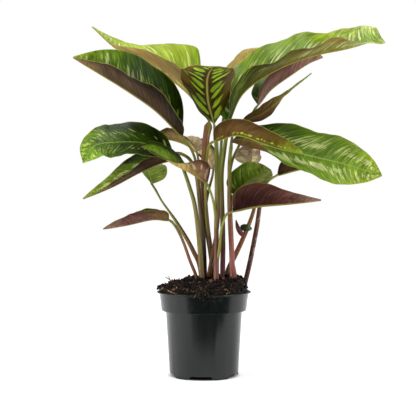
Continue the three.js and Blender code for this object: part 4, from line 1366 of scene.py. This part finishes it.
def make_soil():
    """The body of soil: a ball whose top becomes the heap, its middle the wall and its foot the floor."""
    deselect()
    bpy.ops.mesh.primitive_uv_sphere_add(segments=SOIL_SEGMENTS, ring_count=SOIL_RINGS, radius=1)
    piece = named("soil_dressed")
    for vertex in piece.data.vertices:
        x, y, z = vertex.co
        turn = math.atan2(y, x)
        depth = math.acos(max(-1.0, min(1.0, z))) / math.pi
        if depth < TOP_SHARE:
            point = soil_top(depth / TOP_SHARE, turn)
        elif depth < WALL_SHARE:
            point = soil_wall((depth - TOP_SHARE) / (WALL_SHARE - TOP_SHARE), turn)
        else:
            share = (1 - depth) / (1 - WALL_SHARE)
            point = at_turn((FOOT_RADIUS - WALL - SOIL_GAP) * share, turn, SOIL_FLOOR)
        vertex.co = Vector(point) * MM
    piece.data.update()
    piece.data.materials.append(soil_material("potting_soil", False))
    finish_piece(piece, "potting_soil", "soil", angle=80)


def chip_shapes():
    """Small broken chips: knocked-about balls, flattened and cornered, each as its points and faces."""
    chance = random.Random(SHAPE_SEED)
    shapes = []
    for _ in range(CHIP_SHAPES):
        deselect()
        bpy.ops.mesh.primitive_ico_sphere_add(subdivisions=2, radius=1)
        chip = bpy.context.object
        flat = Vector((1.0, chance.uniform(0.5, 0.85), chance.uniform(0.3, 0.6)))
        shift = Vector((chance.uniform(0, 40), chance.uniform(0, 40), chance.uniform(0, 40)))
        points = []
        for vertex in chip.data.vertices:
            bump = 1 + 0.42 * noise.noise(vertex.co * 1.5 + shift) + 0.2 * noise.noise(vertex.co * 4 + shift)
            points.append([c * f * bump for c, f in zip(vertex.co, flat)])
        faces = [list(face.vertices) for face in chip.data.polygons]
        shapes.append((np.array(points), faces))
        bpy.data.objects.remove(chip)
    return shapes


def turned(points, chance):
    """Points turned at random about the origin."""
    a, b, c = (chance.uniform(0, 2 * math.pi) for _ in range(3))
    flat = np.array([[math.cos(a), -math.sin(a), 0], [math.sin(a), math.cos(a), 0], [0, 0, 1]])
    tip = np.array([[1, 0, 0], [0, math.cos(b), -math.sin(b)], [0, math.sin(b), math.cos(b)]])
    roll = np.array([[math.cos(c), 0, math.sin(c)], [0, 1, 0], [-math.sin(c), 0, math.cos(c)]])
    return points @ (flat @ tip @ roll).T


def joined_piece(name, lumps, material):
    """One piece of many closed lumps, each given as points in millimetres and faces."""
    points, faces = [], []
    start = 0
    for lump, own_faces in lumps:
        points.append(lump)
        faces += [[corner + start for corner in face] for face in own_faces]
        start += len(lump)
    return mesh_piece(name, (np.concatenate(points) * MM).tolist(), faces, material)


def make_chips():
    """Bark chips and crumbs: over the soil, in a pile on the lip's left and in a clump down its front."""
    chance = random.Random(CHIP_SEED)
    shapes = chip_shapes()
    lumps = []

    def put(radius, turn, height, size):
        points, faces = chance.choice(shapes)
        stretch = np.array([chance.uniform(0.8, 1.5), 1.0, chance.uniform(0.7, 1.2)])
        points = turned(points * stretch, chance) * size + np.array(at_turn(radius, turn, height))
        lumps.append((points, faces))

    for _ in range(SCATTERED_CHIPS):
        turn = chance.uniform(0, 2 * math.pi)
        radius = SOIL_RADIUS * math.sqrt(chance.uniform(0.02, 1))
        size = chance.choice(CHIP_SIZES) * chance.uniform(0.8, 1.2)
        put(radius, turn, soil_height(radius, turn) + 0.35 * size, size)
    for _ in range(PILE_CHIPS):
        turn = math.pi + chance.gauss(0, PILE_SPREAD)
        radius = chance.uniform(50, 60)
        size = chance.uniform(0.8, 2.1)
        put(radius, turn, POT_HEIGHT + PILE_LIFT + chance.uniform(0, 4), size)
    for _ in range(CLUMP_CHIPS):
        turn = -math.pi / 2 + chance.gauss(-0.02, CLUMP_SPREAD)
        drop = chance.uniform(0, 1)
        height = POT_HEIGHT + 1.5 - CLUMP_DROP * drop**1.5
        put(CLUMP_RADIUS - 1.2 * drop, turn, height, chance.uniform(0.6, 1.5))
    piece = joined_piece("soil_chips", lumps, soil_material("bark_chips", True))
    tones = np.concatenate([np.full(len(points), chance.random()) for points, _ in lumps])
    piece.data.uv_layers.new(name="surface")
    set_uv(piece, tones, tones)
    finish_piece(piece, "potting_soil", angle=35)


def fibre(points, radius):
    """A thin closed fibre along smooth points, as points and faces."""
    sides = FIBRE_SIDES
    steps = 4 * (len(points) - 1)
    t = np.linspace(0, 1, steps + 1)
    side, other = across_path(points, t, [0.13, 0.2, 0.97])
    size = radius * np.sin(np.pi * (0.12 + 0.76 * t))[:, None]
    ring = []
    for corner in range(sides):
        turn = 2 * math.pi * corner / sides
        ring.append(along(points, t) + (side * math.cos(turn) + other * math.sin(turn)) * size)
    faces = []
    for row in range(steps):
        for corner in range(sides):
            a, b = row * sides + corner, row * sides + (corner + 1) % sides
            faces.append([a, b, b + sides, a + sides])
    faces.append(list(range(sides))[::-1])
    faces.append([steps * sides + corner for corner in range(sides)])
    return np.stack(ring, 1).reshape(-1, 3), faces


def scattered_fibre(chance):
    """A crooked fibre somewhere on the soil's top."""
    turn = chance.uniform(0, 2 * math.pi)
    radius = FIBRE_START_RADIUS * math.sqrt(chance.uniform(0.05, 1))
    heading = chance.uniform(0, 2 * math.pi)
    length = chance.uniform(4, 13)
    points = []
    for step in range(4):
        share = step / 3 - 0.5
        x = radius * math.cos(turn) + length * share * math.cos(heading) + chance.uniform(-0.8, 0.8)
        y = radius * math.sin(turn) + length * share * math.sin(heading) + chance.uniform(-0.8, 0.8)
        reach = min(math.hypot(x, y), FIBRE_END_RADIUS)
        points.append([x, y, soil_height(reach, math.atan2(y, x)) + 0.9 + chance.uniform(0, 1.1)])
    return fibre(points, chance.uniform(0.25, 0.5))


def make_fibres():
    """Tan roots and twigs in the soil's top."""
    chance = random.Random(FIBRE_SEED)
    lumps = [scattered_fibre(chance) for _ in range(SCATTERED_FIBRES)]
    lumps += [fibre(points, radius) for points, radius in PLACED_FIBRES]
    paint = Paint("root_fibres", roughness=0.8, specular=0.3)
    paint.colour(paint.ramp(paint.noise(paint.place(), 220.0), FIBRE_TONES))
    paint.bump(paint.noise(paint.place(), 1600.0), FIBRE_RELIEF)
    piece = joined_piece("soil_fibres", lumps, paint.material)
    finish_piece(piece, "potting_soil", angle=70)


# Pot

POT_DARK = srgb(8, 15, 13)
POT_PALE = srgb(20, 29, 27)
SOIL_DUST = srgb(66, 60, 48)
CRUMB = srgb(30, 20, 14)

# The heights in metres between which dust grows, up to the lip and down to the foot
LIP_DUST = (0.082, 0.108)
FOOT_DUST = (0.016, 0.002)


def pot_material():
    """Black moulded plastic: upright flow lines, fine grain, and soil dust under the lip and at the foot."""
    paint = Paint("pot_plastic", specular=0.42)
    place = paint.place()
    x, y, z = paint.split(place)
    flow = paint.noise(paint.vector(x, y, paint.times(z, 0.05)), 90.0)
    lines = paint.noise(paint.vector(x, y, paint.times(z, 0.02)), 620.0, 3.0, 0.65)
    grain = paint.noise(place, 2600.0, 2.0)
    dust = paint.noise(place, 70.0, 5.0, 0.7)
    high = paint.step(z, *LIP_DUST)
    low = paint.step(z, *FOOT_DUST)
    dusty = paint.step(paint.add(dust, paint.times(paint.add(high, low), 0.12)), 0.6, 0.8, 0.0, 0.3)
    specks, middle = paint.cells(place, 300.0)
    crumbs = paint.times(paint.step(specks, 0.955, 0.97), paint.step(middle, 0.35, 0.2))
    tone = paint.add(paint.times(flow, 0.5), paint.times(lines, 0.5))
    colour = paint.ramp(tone, [(0.3, POT_DARK), (0.7, POT_PALE)])
    colour = paint.mix(dusty, colour, SOIL_DUST)
    paint.colour(paint.mix(paint.times(crumbs, 0.7), colour, CRUMB))
    paint.roughness(paint.add(paint.spread(lines, 0.16, 0.16), paint.times(dusty, 0.6)))
    paint.bump(paint.add(paint.times(grain, 0.12), paint.times(lines, 0.88)), POT_RELIEF)
    return paint.material


def pot_outline():
    """The wall's outline, as radius and height: out under the floor, up to the lip and back down inside."""
    lip_foot = POT_HEIGHT - LIP_THICK
    return [
        (0, 0.0),
        (FLOOR_DISC_RADIUS, 0.0),
        (FLOOR_DISC_RADIUS + 4, FLOOR_RAISE),
        (FOOT_RADIUS - WALL + 0.2, FLOOR_RAISE),
        (FOOT_RADIUS - WALL, 0.2),
        (FOOT_RADIUS - WALL + 0.3, 0.0),
        (FOOT_RADIUS - 0.3, 0.0),
        (FOOT_RADIUS, 0.5),
        (BODY_TOP_RADIUS - 0.1, COLLAR_FOOT - 1.0),
        (BODY_TOP_RADIUS + 0.5, COLLAR_FOOT),
        (COLLAR_FOOT_RADIUS - 0.9, COLLAR_FOOT),
        (COLLAR_FOOT_RADIUS - 0.3, COLLAR_FOOT + 0.3),
        (COLLAR_FOOT_RADIUS, COLLAR_FOOT + 1.0),
        (COLLAR_TOP_RADIUS - 0.1, lip_foot - 2.2),
        (COLLAR_TOP_RADIUS + 0.3, lip_foot - 1.2),
        (LIP_RADIUS - 0.9, lip_foot),
        (LIP_RADIUS - 0.2, lip_foot + 0.4),
        (LIP_RADIUS, lip_foot + 0.9),
        (LIP_RADIUS - 0.2, POT_HEIGHT - 0.4),
        (LIP_RADIUS - 0.8, POT_HEIGHT),
        (COLLAR_TOP_RADIUS - WALL + 0.8, POT_HEIGHT),
        (COLLAR_TOP_RADIUS - WALL, lip_foot - 1.5),
        (COLLAR_FOOT_RADIUS - WALL, COLLAR_FOOT + WALL + 0.6),
        (BODY_TOP_RADIUS - WALL, COLLAR_FOOT + WALL),
        (FOOT_RADIUS - WALL + 0.2, FLOOR_RAISE + WALL),
        (FLOOR_DISC_RADIUS + 3.4, FLOOR_RAISE + WALL),
        (FLOOR_DISC_RADIUS - 0.6, WALL),
        (0, WALL),
    ]


def notch_cutter(number, turn):
    """A block that cuts one of the foot's notches, wider at its foot than at its top."""
    deselect()
    bpy.ops.mesh.primitive_cube_add(size=1)
    notch = named(f"notch_{number}")
    c, s = math.cos(turn), math.sin(turn)
    for vertex in notch.data.vertices:
        high = vertex.co.z > 0
        x = (NOTCH_TOP_WIDTH if high else NOTCH_FOOT_WIDTH) * (0.5 if vertex.co.x > 0 else -0.5)
        y = -FOOT_RADIUS + (NOTCH_REACH if vertex.co.y > 0 else -NOTCH_REACH)
        z = FLOOR_RAISE - 0.4 if high else -1
        vertex.co = Vector((c * x - s * y, s * x + c * y, z)) * MM
    return notch


def drain_cutter(number, turn):
    """A rod that cuts one of the floor's drain holes."""
    deselect()
    bpy.ops.mesh.primitive_cylinder_add(vertices=24, radius=DRAIN_RADIUS * MM, depth=DRAIN_CUT * MM)
    drain = named(f"drain_{number}")
    shift = Vector((math.sin(turn) * DRAIN_CIRCLE, -math.cos(turn) * DRAIN_CIRCLE, FLOOR_RAISE)) * MM
    for vertex in drain.data.vertices:
        vertex.co += shift
    return drain


def make_pot():
    """The pot: its wall's outline spun round, then notched and drained at the foot."""
    deselect()
    bpy.ops.mesh.primitive_plane_add(size=1)
    pot = named("pot_dressed")
    pot.data.clear_geometry()
    points = [(radius * MM, 0.0, height * MM) for radius, height in pot_outline()]
    pot.data.from_pydata(points, [(i, i + 1) for i in range(len(points) - 1)], [])
    pot.data.update()
    make_active(pot)
    bpy.ops.object.mode_set(mode="EDIT")
    bpy.ops.mesh.select_all(action="SELECT")
    bpy.ops.mesh.spin(steps=POT_STEPS, angle=2 * math.pi, center=(0, 0, 0), axis=(0, 0, 1))
    close_skin(fill_ends=False)
    cutters = []
    for number in range(NOTCH_COUNT):
        turn = math.radians(NOTCH_TURN + 360 / NOTCH_COUNT * number)
        cutters += [notch_cutter(number, turn), drain_cutter(number, turn)]
    for cutter in cutters:
        combine(pot, cutter, "DIFFERENCE")
    pot.data.materials.append(pot_material())
    finish_piece(pot, "pot_plastic", "pot", angle=35)


# Floor, light and camera: stage measures in metres, glow and light in shares of white

FLOOR_SIZE = 12
FLOOR_GREY = (0.4, 0.4, 0.4, 1.0)
FLOOR_GLOW_NEAR = 0.84
FLOOR_GLOW_FAR = 1.0
GLOW_FADE = (0.15, 0.7)
# Radii in metres over which the floor's glow fades out under the pot: painted shade under it
PAINTED_SHADE_UNDER_POT = (0.038, 0.05)
# The hidden black sheet that paints the pot's dark front reflection: its lift off the floor and its outline
FLAG_LIFT = 0.002
FLAG_OUTLINE = [
    (-1.2, -1.6), (1.2, -1.6), (1.2, -0.4), (0.26, -0.085), (0.12, -0.075),
    (0.03, -0.116), (-0.075, -0.12), (-0.15, -0.165), (-0.3, -0.35),
]
ROOM_FRONT = 0.04
ROOM_BACK = 0.3
ROOM_FADE = (-0.9, 0.2)

# Each softbox: its place, the point that it faces, its size and its power in watts
SOFTBOXES = {
    "overhead_softbox": ((-0.2, -0.1, 1.25), (0, 0, 0.25), (0.7, 0.5), 10),
    "left_softbox": ((-1.1, -0.45, 0.6), (0, 0, 0.22), (0.5, 1.0), 11),
    "right_softbox": ((1.1, -0.4, 0.6), (0, 0, 0.22), (0.5, 1.0), 9),
}

# The camera: its place, and its focal length and the frame's width in pixels
CAMERA_PLACE = (0.0052, -1.2, 0.215)
FOCAL_PIXELS = 930
FRAME_PIXELS = 416
SENSOR_WIDTH = 36


def make_floor():
    """A plain pale floor that glows into the white behind it; its glow stops under the pot, as painted shade
    there.
    """
    deselect()
    bpy.ops.mesh.primitive_plane_add(size=FLOOR_SIZE)
    floor = named("floor")
    paint = Paint("floor_white", roughness=0.9, specular=0.0)
    x, y, _ = paint.split(paint.place())
    reach = paint.math("SQRT", paint.add(paint.times(x, x), paint.times(y, y)))
    paint.shader.inputs["Base Color"].default_value = FLOOR_GREY
    paint.shader.inputs["Emission Color"].default_value = (1.0, 1.0, 1.0, 1.0)
    glow = paint.step(reach, *GLOW_FADE, FLOOR_GLOW_NEAR, FLOOR_GLOW_FAR)
    # no glow under the pot: painted shade
    glow = paint.times(glow, paint.step(reach, *PAINTED_SHADE_UNDER_POT))
    paint.link(glow, paint.shader.inputs["Emission Strength"])
    floor.data.materials.append(paint.material)
    return floor


def make_flag():
    """A black sheet flat on the floor in front, which shows only in reflections: it paints the dark
    reflection down the pot's front.
    """
    paint = Paint("flag_black", roughness=1.0, specular=0.0)
    paint.shader.inputs["Base Color"].default_value = (0.0, 0.0, 0.0, 1.0)
    corners = [(x, y, FLAG_LIFT) for x, y in FLAG_OUTLINE]
    flag = mesh_piece("flag", corners, [range(len(corners))], paint.material)
    flag.visible_camera = False
    flag.visible_diffuse = False
    flag.visible_shadow = False
    return flag


def make_stage():
    floor = make_floor()
    flag = make_flag()
    deselect()


def add_softbox(name, place, target, size, power):
    data = bpy.data.lights.new(name, "AREA")
    data.shape = "RECTANGLE"
    data.size, data.size_y = size
    data.energy = power
    lamp = bpy.data.objects.new(name, data)
    lamp.location = place
    lamp.rotation_euler = (Vector(target) - Vector(place)).to_track_quat("-Z", "Y").to_euler()
    bpy.context.scene.collection.objects.link(lamp)


def make_world():
    """A white room that is dimmer in front, behind the camera."""
    world = bpy.data.worlds.new("white_room")
    bpy.context.scene.world = world
    world.use_nodes = True
    tree = world.node_tree
    background = tree.nodes["Background"]
    light_path = tree.nodes.new("ShaderNodeLightPath")
    direction = tree.nodes.new("ShaderNodeTexCoord")
    split = tree.nodes.new("ShaderNodeSeparateXYZ")
    tree.links.new(direction.outputs["Generated"], split.inputs[0])
    front = tree.nodes.new("ShaderNodeMapRange")
    front.interpolation_type = "SMOOTHSTEP"
    for socket, value in zip(list(front.inputs)[1:5], (*ROOM_FADE, ROOM_FRONT, ROOM_BACK)):
        socket.default_value = value
    tree.links.new(split.outputs[1], front.inputs[0])
    choose = tree.nodes.new("ShaderNodeMix")
    tree.links.new(light_path.outputs["Is Camera Ray"], choose.inputs[0])
    tree.links.new(front.outputs[0], choose.inputs[2])
    choose.inputs[3].default_value = 1.0
    background.inputs[0].default_value = (1, 1, 1, 1)
    tree.links.new(choose.outputs[0], background.inputs[1])


def make_camera():
    data = bpy.data.cameras.new("camera")
    data.sensor_width = SENSOR_WIDTH
    data.lens = FOCAL_PIXELS / FRAME_PIXELS * SENSOR_WIDTH
    data.clip_end = 50
    camera = bpy.data.objects.new("camera", data)
    camera.location = CAMERA_PLACE
    camera.rotation_euler = (math.pi / 2, 0, 0)
    bpy.context.scene.collection.objects.link(camera)
    bpy.context.scene.camera = camera


deselect()
bpy.context.scene.view_settings.view_transform = "Standard"
make_camera()
make_world()
make_stage()
for name, settings in SOFTBOXES.items():
    add_softbox(name, *settings)
make_pot()
make_soil()
make_chips()
make_fibres()
for shoot, stalks in SHOOTS.items():
    make_shoot(shoot, stalks)
for letter, leaf in LEAVES.items():
    make_blade(letter, leaf)
deselect()
